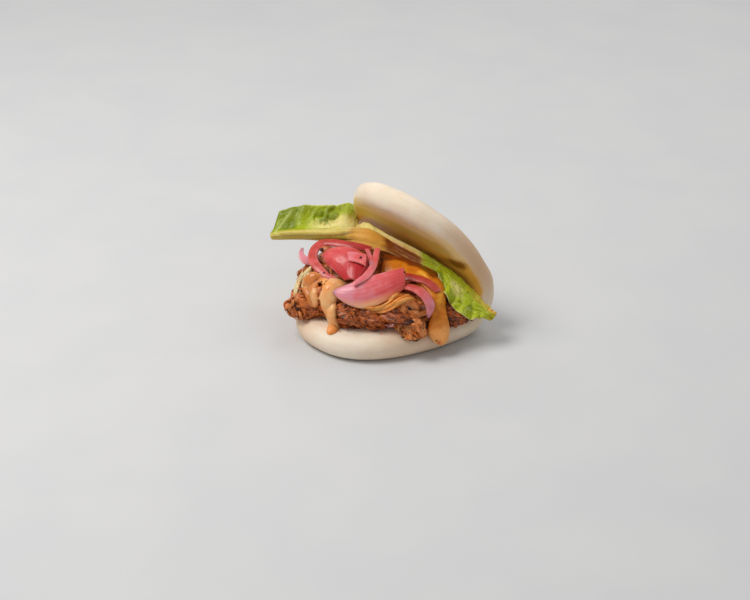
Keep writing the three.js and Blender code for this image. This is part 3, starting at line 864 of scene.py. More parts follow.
@dataclass(frozen=True)
class StudioFloor:
    """The plain pale floor."""

    shade: int = 0xD3D3D3
    mottle: int = 0xD0D0D1
    body: Body = Body(0.8, specular=0.1)

    def material(self) -> bpy.types.Material:
        """Builds an even, matt, very slightly mottled grey."""
        paint = Paint("studio_floor", self.body, self.shade)
        paint.lay(self.mottle, paint.noise(60.0, detail=2.0).step(0.3, 0.7))
        return paint.finish(paint.noise(1.5), 0.02)


# --- bun


@dataclass
class Bun:
    """An oval slab of steamed dough, bent once: a flat lower half, a fold, a curved lid.

    Lengths are in mm. Reaches are measured along the slab from where the bend starts.
    """

    half_width: float = 43.0
    lower_reach: float = 60.0
    upper_reach: float = 79.5
    thickness: float = 12.0
    roundness: float = 2.3
    fold_radius: float = 16.0
    fold_angle: float = radians(113)
    crown_radius: float = 130.0
    lean: float = -5.2
    lower_lean: float = -1.4
    tilt: float = 4.6
    segments: int = 288
    face_cuts: int = 44
    rim_cuts: int = 30
    relief: float = 0.28

    @property
    def centre(self) -> float:
        """The reach of the slab's middle, half-way round the fold."""
        return self.fold_radius * self.fold_angle / 2

    def profile(self, reach: Array) -> tuple[Array, Array, Array]:
        """The slab's middle surface from the side.

        Flat up to reach 0, then an arc of the fold's radius through the fold's angle, then
        an arc of the crown's radius for the rest.

        Args:
            reach: places along the slab.

        Returns:
            Their y, their z and the surface's slope.
        """
        fold_length = self.fold_radius * self.fold_angle
        in_fold = np.clip(reach, 0.0, fold_length) / self.fold_radius
        in_crown = np.maximum(reach - fold_length, 0.0) / self.crown_radius
        turn = self.fold_angle + in_crown
        y = np.minimum(reach, 0.0) + self.fold_radius * np.sin(in_fold)
        y = y + self.crown_radius * (np.sin(turn) - np.sin(self.fold_angle)) * (in_crown > 0)
        z = self.fold_radius * (1 - np.cos(in_fold))
        z = z + self.crown_radius * (np.cos(self.fold_angle) - np.cos(turn)) * (in_crown > 0)
        return y, z, in_fold + in_crown

    def place(self, x: Array, reach: Array, side: Array) -> Array:
        """Points at a place on the slab, side half thicknesses off its middle surface."""
        y, z, slope = self.profile(reach)
        off = side * self.thickness / 2
        height = z + np.cos(slope) * off + self.thickness / 2
        return np.stack([x, y - np.sin(slope) * off, height], axis=-1)

    def rings(self) -> tuple[Array, Array, Array, Array]:
        """Rings from the middle of the inner face, over the rim, to that of the outer face.

        A ring is the oval |x/a|^n + |p/b|^n = 1 drawn in by its share of the faces or, on
        the rim, by the inset of a half round edge.

        Returns:
            The points, and x, reach and side of each of them.
        """
        face = np.linspace(0.0, 1.0, self.face_cuts + 1)[1:] ** 0.8
        turn = pi * (0.5 - np.linspace(0.0, 1.0, self.rim_cuts + 1))
        share = np.concatenate([face[:-1], np.ones(self.rim_cuts + 1), face[:-1][::-1]])
        inset = np.concatenate([np.ones(len(face) - 1), 1 - np.cos(turn), np.ones(len(face) - 1)])
        side = np.concatenate([np.ones(len(face) - 1), np.sin(turn), -np.ones(len(face) - 1)])
        even = full_turn(self.segments)
        angle = even - 0.3 * np.sin(2 * even)
        power = 2 / self.roundness
        across = np.sign(np.cos(angle)) * np.abs(np.cos(angle)) ** power
        along = np.sign(np.sin(angle)) * np.abs(np.sin(angle)) ** power
        reach = np.where(along > 0, self.upper_reach - self.centre, self.lower_reach + self.centre)
        half = self.thickness / 2
        x = across * (self.half_width - half * inset[:, None]) * share[:, None]
        p = along * (reach - half * inset[:, None]) * share[:, None]
        above = np.maximum(p, 0.0) / (self.upper_reach - self.centre)
        below = np.maximum(-p, 0.0) / (self.lower_reach + self.centre)
        x = x + self.lean * above + self.lower_lean * below
        p = p + self.tilt * above * x / self.half_width
        sides = np.broadcast_to(side[:, None], x.shape)
        return self.place(x, p + self.centre, sides), x, p + self.centre, sides

    def swelling(self, points: Array) -> Array:
        """Soft unevenness of the dough in mm, none where it rests on the floor."""
        grain = Grain(3)
        lumps = grain.at(points, 17.0) + 0.5 * grain.at(points, 7.0) + 0.16 * grain.at(points, 2.6)
        return self.relief * lumps * smoothstep(points[..., 2], 0.5, 4.0)

    def front(self, origins: Array, out: Array) -> Array:
        """How far along `out` from each origin the upper face of the lower half is.

        The face is flat up to the rim, where its height over the middle surface falls as the
        root of r^2 - (r - inset)^2. Each round puts the point back on that height.
        """
        half = self.thickness / 2
        along = (self.thickness - origins[..., 2]) / out[2]
        for _ in range(10):
            x, y, z = np.moveaxis(origins + along[..., None] * out, -1, 0)
            across, down = x / self.half_width, (y - self.centre) / (self.lower_reach + self.centre)
            powers = np.abs(across) ** self.roundness + np.abs(down) ** self.roundness
            radius = powers ** (1 / self.roundness)
            inset = np.clip((1 - radius) * self.lower_reach * 1.1, 0.0, half)
            top = half + np.sqrt(np.maximum(half**2 - (half - inset) ** 2, 0.0))
            along = along + 0.7 * (top - z) / out[2]
        return np.where(radius < 1.0, along, MISSED)

    def stains(self, x: Array, reach: Array, side: Array) -> Traits:
        """Where the inner face is tan, olive, golden and brown, part stain and part painted shade with a
        warm painted reflection, and where painted shade darkens the rim.
        """
        inside = smoothstep(side, 0.35, 1.0)
        lid = inside * smoothstep(reach, 14.0, 26.0)
        slant = reach + 0.16 * np.maximum(x, 0)
        low_edge = 1 - smoothstep(slant, 47.0, 57.0)
        amid = smoothstep(x, -44.0, -26.0) * (1 - smoothstep(x, 22.0, 36.0))
        # A dark brown blotch just above the leaf's edge: grease stain and painted contact shadow.
        grease = 0.95 * bell(x, 31.0, 7.0) * bell(reach, 44.0, 3.6)
        grease = grease + 0.6 * bell(x, 15.0, 11.0) * bell(reach, 42.0, 3.6)
        # Painted shade on the rim's far side and on the lower half's ends.
        outer = smoothstep(x, 18.0, 40.0) * smoothstep(reach, 10.0, 40.0)
        outer = outer * (1 - smoothstep(reach, 60.0, 76.0))
        lower, aside = 1 - smoothstep(reach, -20.0, 5.0), x + reach
        ends = lower * np.maximum(smoothstep(aside, -30.0, 0.0), smoothstep(-aside, 52.0, 72.0))
        return {
            "tan": lid * (1 - 0.9 * smoothstep(slant, 58.0, 78.0)),
            "olive": lid * bell(slant, 56.0, 6.0) * amid,
            "gold": lid * low_edge * (0.75 + 0.25 * smoothstep(x, -40.0, -15.0)),
            "grease": lid * np.clip(grease, 0, 1),
            "shade": np.clip(outer * (1 - 0.6 * inside) + 0.55 * ends, 0, 1),
        }

    def shell(self) -> Shell:
        """The closed bun with its unevenness, its stains and its painted shade."""
        points, x, reach, side = self.rings()
        outs = unit(np.cross(slopes(points, 0), unit(np.roll(points, -1, 1) - np.roll(points, 1, 1))))
        centre_line = self.place(x * 0, reach, 0 * side)
        flip = np.sign(np.sum(outs * (points - centre_line), axis=-1).mean())
        points = points + outs * (flip * self.swelling(points))[..., None]
        points[..., 2] = np.maximum(points[..., 2], 0.0)
        uv = np.stack([x / 100 + 0.5, reach / 200 + 0.5], axis=-1)
        turn = full_turn(self.segments) + 0 * x
        steps = np.linalg.norm(np.diff(points, axis=0), axis=-1).mean(axis=1)
        out = np.concatenate([[0.0], np.cumsum(steps)])[:, None] + 0 * x
        combed = {"comb_x": 4 * np.cos(turn), "comb_y": 4 * np.sin(turn), "comb_out": out}
        return lofted(points, uv, {**combed, **self.stains(x, reach, side)})

    def inner_face(self) -> "Cover":
        """The inner face as something that the filling stays above."""
        x = np.linspace(-self.half_width, self.half_width, 60)[:, None]
        reach = np.linspace(-self.lower_reach, self.upper_reach, 110)[None, :]
        x, reach = np.broadcast_arrays(x, reach)
        points = self.place(x, reach, np.ones_like(x))
        inner = unit(points - self.place(x, reach, np.zeros_like(x)))
        return Cover(points.reshape(-1, 3), -inner.reshape(-1, 3), 0.0, 2.5, 9.0)

    def serve(self, kitchen: Kitchen) -> None:
        """Makes the bun."""
        kitchen.plate("steamed_bun", self.shell(), SteamedDough().material(), Slot.DOUGH, "bun")


@dataclass
class Cover:
    """Something that lies on the filling: points of it, and which way is away from the filling.

    What comes closer than `half` to it, within `spread` beside a point and within `deep` on
    its far side, is pushed back.
    """

    points: Array
    outs: Array
    half: float
    spread: float
    deep: float

    @classmethod
    def from_sheet(cls, sheet: Sheet, half: float, every: int = 4) -> "Cover":
        """A cover from a thin sheet's middle surface."""
        points = sheet.points[::every, ::every].reshape(-1, 3)
        return cls(points, sheet.outs[::every, ::every].reshape(-1, 3), half, 1.6, 4.5)

    def push_back(self, points: Array, radius: Array) -> Array:
        """Points with those that would come through the cover moved to its inner side.

        Args:
            points: places in an array that ends in 3.
            radius: how far round each place the thing there reaches, in mm.

        Returns:
            The moved points, in the same shape.
        """
        flat = points.reshape(-1, 3).copy()
        around = np.broadcast_to(radius, points.shape[:-1]).ravel()
        low, high = self.points.min(0) - self.deep, self.points.max(0) + self.deep
        near = np.flatnonzero(np.all((flat > low) & (flat < high), axis=1))
        for some in np.array_split(near, max(1, len(near) // 2000)):
            here = flat[some]
            square = (self.points**2).sum(1) - 2 * here @ self.points.T
            nearest = square.argmin(1)
            offset = here - self.points[nearest]
            out = self.outs[nearest]
            height = (offset * out).sum(1)
            beside = np.linalg.norm(offset - height[:, None] * out, axis=1)
            limit = -(self.half + around[some])
            over = (beside < self.spread) & (height > limit) & (height < self.deep)
            flat[some] = here + out * (np.where(over, limit - height, 0.0))[:, None]
        return flat.reshape(points.shape)


def below(covers: list[Cover], points: Array, radius: Array) -> Array:
    """The points pushed back below each of the covers in turn."""
    for cover in covers:
        points = cover.push_back(points, radius)
    return points


# --- leaf


@dataclass
class LettuceLeaf:
    """One leaf from its far tip, outside the fold, to its near tip over the pork.

    Each station has the lower front edge, the crease of the rib side, the free edge of the
    blade, and how deep the blade sags between the last two, in mm.
    """

    stations: tuple[Line, ...] = (
        ((-57, -37, 33.5), (-57.5, -37.5, 36), (-61, -28, 44.5), (0, 0, 1.5)),
        ((-50, -32.5, 34.5), (-50, -34, 39), (-54.5, -21, 47.5), (0, 0, 3)),
        ((-42.5, -28, 35.5), (-42, -30, 40.5), (-48.5, -15, 48), (0, 0, 3.5)),
        ((-32, -24, 37), (-32, -25.5, 42.5), (-43.5, -6, 46.5), (0, 0, 3)),
        ((-24, -21, 38), (-25, -21, 43.8), (-43.6, 4.5, 44.2), (0, 0, 2.5)),
        ((-20.5, -19.5, 38.2), (-23.3, -17.5, 43.6), (-42.6, 8.5, 40.2), (0, 0, 2.2)),
        ((-17, -18, 38.3), (-21.5, -14, 43.3), (-34, 1.5, 36.8), (0, 0, 1.6)),
        ((-10, -15, 37.5), (-15.5, -9.5, 43), (-26, -1.2, 41.2), (0, 0, 1.5)),
        ((-2, -9, 35.5), (-8, -4.2, 38.2), (-11, -2, 40.4), (0, 0, 0.4)),
        ((5, -6, 32.6), (2, -2.5, 35.6), (-0.5, 0, 38.3), (0, 0, 0)),
        ((13, -3, 31.4), (10.5, -0.5, 33.6), (7.6, 2, 36.3), (0, 0, 0)),
        ((21, -0.5, 31), (19, 2.2, 32), (17.5, 3.8, 33.4), (0, 0, 0)),
        ((31, -6.5, 28.5), (29.8, -2, 30.6), (28, 5.6, 29.8), (0, 0, -0.6)),
        ((37, -8.5, 23.5), (36.8, -3, 26.2), (35.5, 7.6, 25), (0, 0, -1)),
        ((44, -6.5, 17.5), (43.4, -1.5, 20.6), (42, 9.3, 19.8), (0, 0, -1)),
        ((49.4, -1.2, 15.8), (49, 2, 17.4), (46.8, 10.2, 17.2), (0, 0, -0.4)),
        ((52.6, 7, 14.6), (52.3, 8.6, 15.2), (51.2, 10.6, 15.4), (0, 0, 0)),
    )
    rib_thick: float = 2.4
    blade_thick: float = 1.0
    ruffle: float = 1.5
    waves: float = 13.0
    quilting: float = 0.7
    along_cuts: int = 420
    across_cuts: int = 76

    def bare_grid(self, u: Array, v: Array) -> Array:
        """The leaf's middle surface without its fine relief.

        Three smooth curves run through the stations' edges and crease. Across them runs a
        smooth curve through front edge, crease, sagging blade and free edge, and a wave
        lifts the loose parts.

        Args:
            u: shares along the leaf.
            v: shares across it.

        Returns:
            Points in an array of len(u), len(v) and 3.
        """
        knots = np.array(self.stations, float)
        front, crease, edge, sag = (through(knots[:, k], u) for k in range(4))
        section = np.stack([front, crease, mix(crease, edge, 0.4) - sag, edge])
        grid = np.swapaxes(through(section, v), 0, 1)
        wave = np.sin(u * self.waves * 2 * pi) + 0.5 * np.sin(u * self.waves * 3.7 * pi + 1)
        ruffle_way = unit(np.array([0.1, -0.6, 0.8]))
        return grid + self.ruffle * (wave[:, None] * self.looseness(u, v))[..., None] * ruffle_way

    @staticmethod
    def looseness(u: Array, v: Array) -> Array:
        """How free the blade is: beyond the bun at the far end, and over the pork."""
        u, v = u[:, None], v[None, :]
        outside = 0.25 * (1 - smoothstep(u, 0.2, 0.3)) * smoothstep(v, 0.35, 1.0)
        return outside + smoothstep(u, 0.64, 0.76) * (1 - smoothstep(v, 0.0, 0.45))

    def net(self, u: Array, v: Array) -> tuple[Array, Array]:
        """The veins and the bulges between them.

        Cells about 6 mm across and stretched along the side veins make the net: a vein is
        where the two nearest cells are equally far away, and the blade swells between.

        Args:
            u: shares along the leaf, as a grid.
            v: shares across it, as a grid.

        Returns:
            How much of a vein each point is, and how high it swells.
        """
        places = np.stack([u * 22.0 + v * 1.6, v * 5.2 - u * 2.0], axis=-1)
        bend = Grain(9)
        wobble = np.stack([u * 40, v * 12, 0 * u], axis=-1)
        places = places + 0.3 * np.stack([bend.at(wobble, 1.0), bend.at(wobble + 9, 1.0)], axis=-1)
        nearest, second = cells(places + 20, 4)
        gap = second - nearest
        return 1 - smoothstep(gap, 0.0, 0.16), smoothstep(gap, 0.0, 0.55)

    def sheet(self) -> tuple[Sheet, Traits]:
        """The middle surface with its relief, and what is painted on it."""
        u = np.linspace(0.0, 1.0, self.along_cuts)
        v = edge_dense(self.across_cuts)
        gu, gv = np.meshgrid(u, v, indexing="ij")
        bare = Sheet.from_grid(self.bare_grid(u, v), gu, gv)
        vein, swell = self.net(gu, gv)
        flap = smoothstep(gu, 0.62, 0.74)
        blade = 0.35 * (1 - smoothstep(gu, 0.36, 0.5)) * smoothstep(gv, 0.3, 0.45) + flap
        band = (1 - smoothstep(gv, 0.28, 0.42)) * (1 - flap)
        grain = Grain(5)
        lumps = grain.layered(bare.points, 7.0)
        ridges = np.sin(gv * 52 + 1.5 * grain.at(bare.points, 9.0)) * band
        frill = bell(gu, 0.175, 0.045) * bell(gv, 0.82, 0.2)
        crimps = np.sin(gu * 150 + 5 * grain.at(bare.points, 3.0)) * frill
        rim_near = bell(gu, 0.42, 0.09) * smoothstep(gv, 0.55, 0.95)
        creases = np.sin(gu * 160 + 5 * grain.at(bare.points, 5.0)) * rim_near
        scallops = flap * (1 - smoothstep(gv, 0.0, 0.2)) * np.sin(gu * 130 + 2 * np.sin(gu * 61))
        pocket = bell(gu, 0.055, 0.025) * bell(gv, 0.62, 0.14)
        height = 0.42 * (swell - 0.5) * blade + 0.16 * ridges + 0.5 * lumps * blade
        height = height + 0.9 * crimps + 0.3 * creases + 0.45 * scallops - 0.8 * pocket
        return bare.lifted(height), self.paint(gu, gv, vein, swell, frill * (1 + crimps) * 0.5)

    def paint(self, u: Array, v: Array, vein: Array, swell: Array, frill: Array) -> Traits:
        """What the leaf's colours come from, for each point of its grid.

        Args:
            u: shares along the leaf.
            v: shares across it.
            vein: how much of a vein it is.
            swell: how high it swells between veins.
            frill: how crimped it is.

        Returns:
            The traits by name.
        """
        flap = smoothstep(u, 0.6, 0.66)
        far_blade = (1 - smoothstep(u, 0.3, 0.42)) * smoothstep(v, 0.3, 0.5)
        pale_area = bell(u, 0.27, 0.12) * bell(v, 0.66, 0.13)
        tip = 1 - smoothstep(u, 0.05, 0.16)
        upper_rim = smoothstep(v, 0.78, 0.93) * (1 - smoothstep(u, 0.26, 0.33))
        green = far_blade * (0.5 - 0.5 * pale_area) + tip * smoothstep(v, 0.2, 0.45) + 0.8 * upper_rim + flap
        green = green * (1 - 0.7 * bell(u, 0.8, 0.045) * bell(v, 0.45, 0.3))
        # The deep trait: the leaf's own darker green at its tip, upper rim and the flap's edge, and painted
        # shade in the pocket, the rolled fold, the crimped frill and the hollows between bulges.
        pocket = bell(u, 0.055, 0.024) * bell(v, 0.62, 0.14)
        rolled = bell(v, 0.45 - 0.3 * (u - 0.15), 0.045) * bell(u, 0.17, 0.07)
        late = smoothstep(u, 0.44, 0.53)
        left_edge = bell(u, 0.725, 0.03) * (1 - smoothstep(v, 0.05, 0.35))
        bright_patch = bell(u, 0.885, 0.018) * bell(v, 0.35, 0.14)
        deep = 1.2 * pocket + 0.9 * rolled + 1.1 * frill + 0.8 * left_edge + 0.6 * bright_patch
        deep = deep + 0.55 * tip * smoothstep(v, 0.2, 0.45) + 0.3 * upper_rim
        deep = deep + 0.3 * flap * (1 - swell) * (1 - smoothstep(v, 0.5, 0.8))
        band = (1 - smoothstep(v, 0.38, 0.5)) * (1 - flap)
        lower = (1 - smoothstep(v, 0.1, 0.32)) * (1 - flap)
        middle = smoothstep(u, 0.2, 0.42) * (1 - flap)
        loop = bell(np.hypot((u - 0.06) / 0.04, (v - 0.55) / 0.38), 1.0, 0.12)
        pale_vein = loop * (1 - smoothstep(u, 0.04, 0.06))
        # Ochre and umber: golden to dark umber painted shade, with a warm painted reflection, where the leaf
        # lies under the bun's fold; tan_end is a tan near end.
        tan_end = smoothstep(u, 0.74, 0.9) * smoothstep(v, 0.55, 0.8) + smoothstep(u, 0.94, 0.98)
        fading, deepening = 1 - smoothstep(v, 0.22, 0.55), 1 - 0.7 * smoothstep(v, 0.5, 0.9)
        burnt = 1.3 * late * (1 - flap) * (1 - smoothstep(v, 0.4, 0.75))
        ends = (1 - smoothstep(u, 0.92, 0.97)) * (1 - 0.8 * tip)
        rim = 1 - smoothstep(np.minimum(v, 1 - v), 0.0, 0.03)
        return {
            "green": np.clip(green, 0, 1),
            "deep": np.clip(deep, 0, 1),
            "rib": np.clip(band * (1 - 0.8 * late), 0, 1),
            "olive": np.clip(band * (0.5 + 0.4 * lower) * (1 - 0.7 * middle), 0, 1),
            "ochre": np.clip(middle * mix(fading, deepening, late) + 0.55 * tan_end, 0, 1),
            "umber": np.clip(0.05 * middle * fading + burnt, 0, 1),
            "vein": np.clip(vein * (0.6 * far_blade * (1 - tip) + flap) * 0.9 + pale_vein, 0, 1),
            "edge": rim * (1 - 0.6 * middle) * ends,
        }

    def thickness(self, u: Array, v: Array) -> Array:
        """Thickest along the rib at a fifth of the width, which fades under the bun."""
        near_rib = 1 - smoothstep(np.abs(v - 0.2), 0.05, 0.25)
        return mix(self.blade_thick, self.rib_thick, near_rib * (1 - smoothstep(u, 0.5, 0.7)))

    def serve(self, kitchen: Kitchen) -> Cover:
        """Makes the leaf and says where it keeps the pork away."""
        sheet, traits = self.sheet()
        shell = sheet.thickened(self.thickness(sheet.u, sheet.v), 14.0, traits)
        kitchen.plate("lettuce_leaf", shell, LettuceGreen().material(), Slot.LEAF, "lettuce")
        return Cover.from_sheet(sheet, 0.9, 6)


# --- bands


@dataclass
class Band:
    """A thin piece between two edges, each a smooth curve through its points, in mm.

    The first edge is on the right as one looks along it from outside, and `bulge` is how far
    the middle stands out, as a share of the width.
    """

    right: Line
    left: Line
    bulge: float
    along_cuts: int = 150
    across_cuts: int = 40

    def sheet(self) -> Sheet:
        """The middle surface: straight from edge to edge, plus a rise of 4 v (1 - v)."""
        even = np.linspace(0.0, 1.0, self.along_cuts)
        u = mix(even, edge_dense(self.along_cuts), 0.6)
        v = mix(np.linspace(0.0, 1.0, self.across_cuts), edge_dense(self.across_cuts), 0.8)
        start, end = (evenly(np.array(edge, float), u) for edge in (self.right, self.left))
        across = end - start
        wide = np.linalg.norm(across, axis=-1, keepdims=True)
        rise = unit(np.cross(slopes(start, 0) + slopes(end, 0), across)) * (self.bulge * wide)
        share = v[None, :, None]
        grid = start[:, None] + across[:, None] * share + rise[:, None] * 4 * share * (1 - share)
        gu, gv = np.meshgrid(u, v, indexing="ij")
        return Sheet.from_grid(grid, gu, gv)


@dataclass
class OnionSlice:
    """One slice of pickled onion: its bands and how its colour runs from end to end."""

    node: str
    bands: tuple[Band, ...]
    blush: tuple[float, float]
    oily: float = 0.0
    lip: float = 0.12
    ridges: float = 5.0
    thick: float = 1.45
    curl: float = 0.25
    peach: float = 0.0

    def shell(self, seed: int) -> tuple[Shell, list[Sheet]]:
        """The slice with its lengthwise ridges, and its middle surfaces."""
        shells, sheets = [], []
        for plain in (band.sheet() for band in self.bands):
            grain = Grain(60 + seed)
            drift = grain.at(plain.points, 7.0)
            lines = np.sin(plain.v * 2 * pi * self.ridges + drift * 2.5)
            fine = np.sin(plain.v * 2 * pi * self.ridges * 3.1 + grain.at(plain.points + 9, 5.0) * 3)
            sheet = plain.lifted(0.02 * lines + 0.012 * fine + self.curl * drift)
            rim = np.minimum(plain.v, 1 - plain.v)
            cut_ends = np.minimum(plain.u, 1 - plain.u)
            pale_rim = (1 - smoothstep(rim, 0.0, self.lip)) ** 1.5
            traits = {
                "blush": mix(self.blush[0], self.blush[1], plain.u) + 0.04 * lines + 0.03 * fine,
                "oily": np.full_like(plain.u, self.oily),
                "lower": self.peach * (1 - smoothstep(plain.v, 0.08, 0.3)) * bell(plain.u, 0.5, 0.3),
                "edge": np.clip(pale_rim + 0.5 * (1 - smoothstep(cut_ends, 0.0, 0.03)), 0, 1),
            }
            slimmer = 1 - 0.25 * bell(plain.u, 0.0, 0.12) - 0.2 * bell(plain.u, 1.0, 0.12)
            shells.append(sheet.thickened(self.thick * slimmer, 9.0, traits))
            sheets.append(sheet)
        return merged(shells), sheets


class Onions:
    """The pickled onion on the heap."""

    def slices(self) -> list[OnionSlice]:
        """Each slice by the CAD node that it stands for."""
        return [
            OnionSlice("onion_front", (Band(
                ((-0.9, -48.3, 28.9), (3.7, -48.4, 26.9), (8.6, -46.6, 24.9), (13.8, -43.1, 23.9),
                 (18.4, -37.6, 25.5), (21.2, -31.1, 28.3), (22.8, -23.8, 30.8)),
                ((-1.4, -48.1, 29.4), (1.9, -43.9, 31.8), (5.6, -38.9, 34), (8.8, -33.4, 35.6),
                 (13, -26.8, 37.1), (16.8, -18.4, 37.8)), 0.15, 200, 64),), (-0.1, 0.7), 0.0, 0.07, 7.0,
                peach=1.0),
            OnionSlice("onion_round", (Band(
                ((-23.3, -34.4, 35.9), (-18, -36.8, 34.3), (-10.7, -38.4, 33.2), (-1.9, -39.6, 31.8)),
                ((-18.7, -27.9, 39.6), (-10, -24.9, 40.5), (-1.9, -24.8, 38.5), (2.9, -28.9, 36.3),
                 (4.5, -37.2, 32.7)), 0.16, 180, 64),), (0.45, 1.15), 0.15, 0.06, 9.0),
            OnionSlice("onion_ring", (Band(
                ((-7.4, -15.8, 39.4), (-12.5, -19.4, 40.4), (-19.1, -22.1, 40.4), (-25.1, -24.5, 39.9),
                 (-30.8, -28.6, 38.8), (-31.1, -34.3, 36.9), (-27.4, -39.6, 34.7), (-22.3, -42.7, 33.3),
                 (-14.7, -44, 31.1), (-6, -42.3, 30.4)),
                ((-6.2, -17.8, 38.3), (-10.6, -22.2, 38.5), (-15.3, -25.2, 38.7), (-20.3, -27.1, 38.5),
                 (-25.5, -29.5, 38), (-26.4, -32.8, 37), (-23.3, -37.4, 35.3), (-17.9, -39.6, 33.7),
                 (-11.3, -40.6, 32.2), (-4.2, -40.1, 30.8)), 0.12, 240, 36),), (1.1, 0.3), 0.42, 0.2, 3.0),
            OnionSlice("onion_hook", (Band(
                ((-34, -37.7, 37.4), (-33.2, -40.5, 35.7), (-30.7, -42.5, 34), (-27.7, -42.4, 32.3),
                 (-24.9, -40.3, 31.5)),
                ((-33.5, -37.3, 37.1), (-31.3, -39, 35.2), (-28.7, -38.7, 34.4), (-26.9, -37.8, 34.2)),
                0.1, 110, 30),), (-0.35, 0.15), 0.1, 0.3, 2.0),
            OnionSlice("onion_chip", (Band(
                ((-5.3, -34.2, 39.1), (-0.8, -32.6, 39.3), (4.1, -31.4, 38.8)),
                ((-9.5, -30.4, 41.1), (-5.6, -27.9, 41.3), (-0.6, -26.1, 41.4)), 0.06, 90, 40),),
                (0.3, 0.5), 0.1, 0.08, 4.0),
            OnionSlice("onion_strip", (
                Band(((-5.5, -15.7, 39.4), (0.4, -23.7, 37.9), (4.8, -30.1, 37.5), (6.7, -37.3, 36),
                      (5.9, -42.6, 34.4)),
                     ((-3.2, -14.3, 39.2), (3, -21.8, 38.1), (7.7, -28.2, 37.3), (10.1, -35.6, 35.5),
                      (8, -43.3, 33.9)), 0.1, 150, 30),
                Band(((-8.1, -20, 39.2), (-2.7, -23.3, 38.3), (3.1, -27.7, 37.6), (7.3, -30.5, 36.9)),
                     ((-7, -18.7, 39.4), (-1.6, -22, 38.7), (4.2, -26.5, 38.1), (8.1, -29.3, 37.3)),
                     0.1, 110, 24)), (0.5, 0.3), 0.05, 0.25, 2.0, 1.6, 0.1),
            OnionSlice("onion_back", (Band(
                ((17.2, -18.7, 30.8), (22.3, -16.5, 31.4), (27.4, -14.8, 31), (33.2, -14, 28.6)),
                ((13.4, -14.9, 32.4), (19, -13.1, 32.7), (24.9, -11.5, 32.4), (30.7, -10.7, 31),
                 (34.3, -11.1, 29)), 0.1, 130, 34),), (1.1, 0.5), 0.55, 0.2, 3.0),
            OnionSlice("onion_hang", (Band(
                ((22.1, -24.5, 30.5), (26.8, -23.2, 30.4), (31.7, -22.2, 28.4), (34.8, -22.2, 25.3),
                 (36.3, -22.3, 20)),
                ((19.7, -21.4, 31.4), (25.6, -19.5, 31.5), (30.2, -18.5, 31), (34.7, -18.2, 28.7),
                 (37.4, -18.7, 25.5), (37.8, -20.5, 22.2), (36.9, -22.2, 19.4)), 0.12, 160, 34),),
                (0.9, -0.3), 0.35, 0.2, 3.0),
        ]

    def serve(self, kitchen: Kitchen) -> list[Cover]:
        """Makes each slice and says where they keep the pork away."""
        material = PickledOnion().material()
        covers = []
        for seed, piece in enumerate(self.slices()):
            shell, sheets = piece.shell(seed)
            kitchen.plate("pickled_" + piece.node, shell, material, Slot.ONION, piece.node)
            covers += [Cover.from_sheet(sheet, piece.thick / 2) for sheet in sheets]
        return covers


# --- cheese and sauce


@dataclass
class Cheese:
    """A melted slice that lies under the leaf and hangs down over the near edge."""

    band: Band = field(default_factory=lambda: Band(
        ((3.3, -20.4, 30.1), (8.1, -17.7, 30.4), (14.4, -15.2, 30.7), (21.7, -15.2, 30.7),
         (28.5, -15.3, 28.9), (33.7, -16.5, 25.4), (35.7, -18.9, 20), (36.5, -21.7, 15.4),
         (38.2, -23.1, 11.2), (41.2, -22, 7.6), (43, -20.4, 6.3)),
        ((-5, -9.5, 34.6), (3, -5, 33.2), (10, -2.2, 31.8), (17, -0.8, 30.8), (25, -2.4, 30),
         (32, -6, 27.8), (36.8, -10.4, 21.8), (39.8, -12.4, 18), (42.5, -13.5, 13),
         (43.9, -16.5, 8.2), (43.3, -19.4, 6.3)), 0.08, 220, 70))
    thick: float = 2.6

    def serve(self, kitchen: Kitchen) -> Cover:
        """Makes the cheese: folds where it leaves the heap, thicker towards its tip."""
        plain = self.band.sheet()
        grain = Grain(12)
        u, v = plain.u, plain.v
        hanging = smoothstep(u, 0.5, 0.66)
        folds = np.sin(v * 13 + 2.2 * grain.at(plain.points, 7.0)) * bell(u, 0.4, 0.24)
        lumps = 0.35 * grain.at(plain.points, 5.0) + 0.13 * grain.at(plain.points, 1.9)
        sheet = plain.lifted(0.3 * folds + lumps * (0.7 + 0.5 * hanging))
        # glow and honey: painted light on the heap and at the bend; dark: painted shadow under the leaf.
        glow = 0.7 * bell(u, 0.62, 0.1) * bell(v, 0.4, 0.3)
        under_leaf = (1 - hanging) * smoothstep(v + 0.25 * grain.at(plain.points, 6.0), 0.42, 0.85)
        traits = {
            "tip": smoothstep(u, 0.7, 0.95),
            "dark": np.clip(under_leaf * (1 - 0.6 * smoothstep(u, 0.42, 0.5)), 0, 1),
            "honey": np.clip(bell(u, 0.36, 0.07) * bell(v, 0.35, 0.16) + glow, 0, 1),
            "spot": bell(u, 0.955, 0.02) * bell(v, 0.3, 0.16),
        }
        thick = self.thick * (0.8 + 0.45 * smoothstep(u, 0.78, 0.95))
        shell = sheet.thickened(thick, 3.0, traits)
        kitchen.plate("melted_cheese", shell, MeltedCheese().material(), Slot.CHEESE, "cheese")
        return Cover.from_sheet(sheet, self.thick / 2)


@dataclass(frozen=True)
class Run:
    """Where sauce has run: a line of points in mm, and how wide and how thick it is there."""

    line: Line
    wide: tuple[float, ...]
    thick: tuple[float, ...]


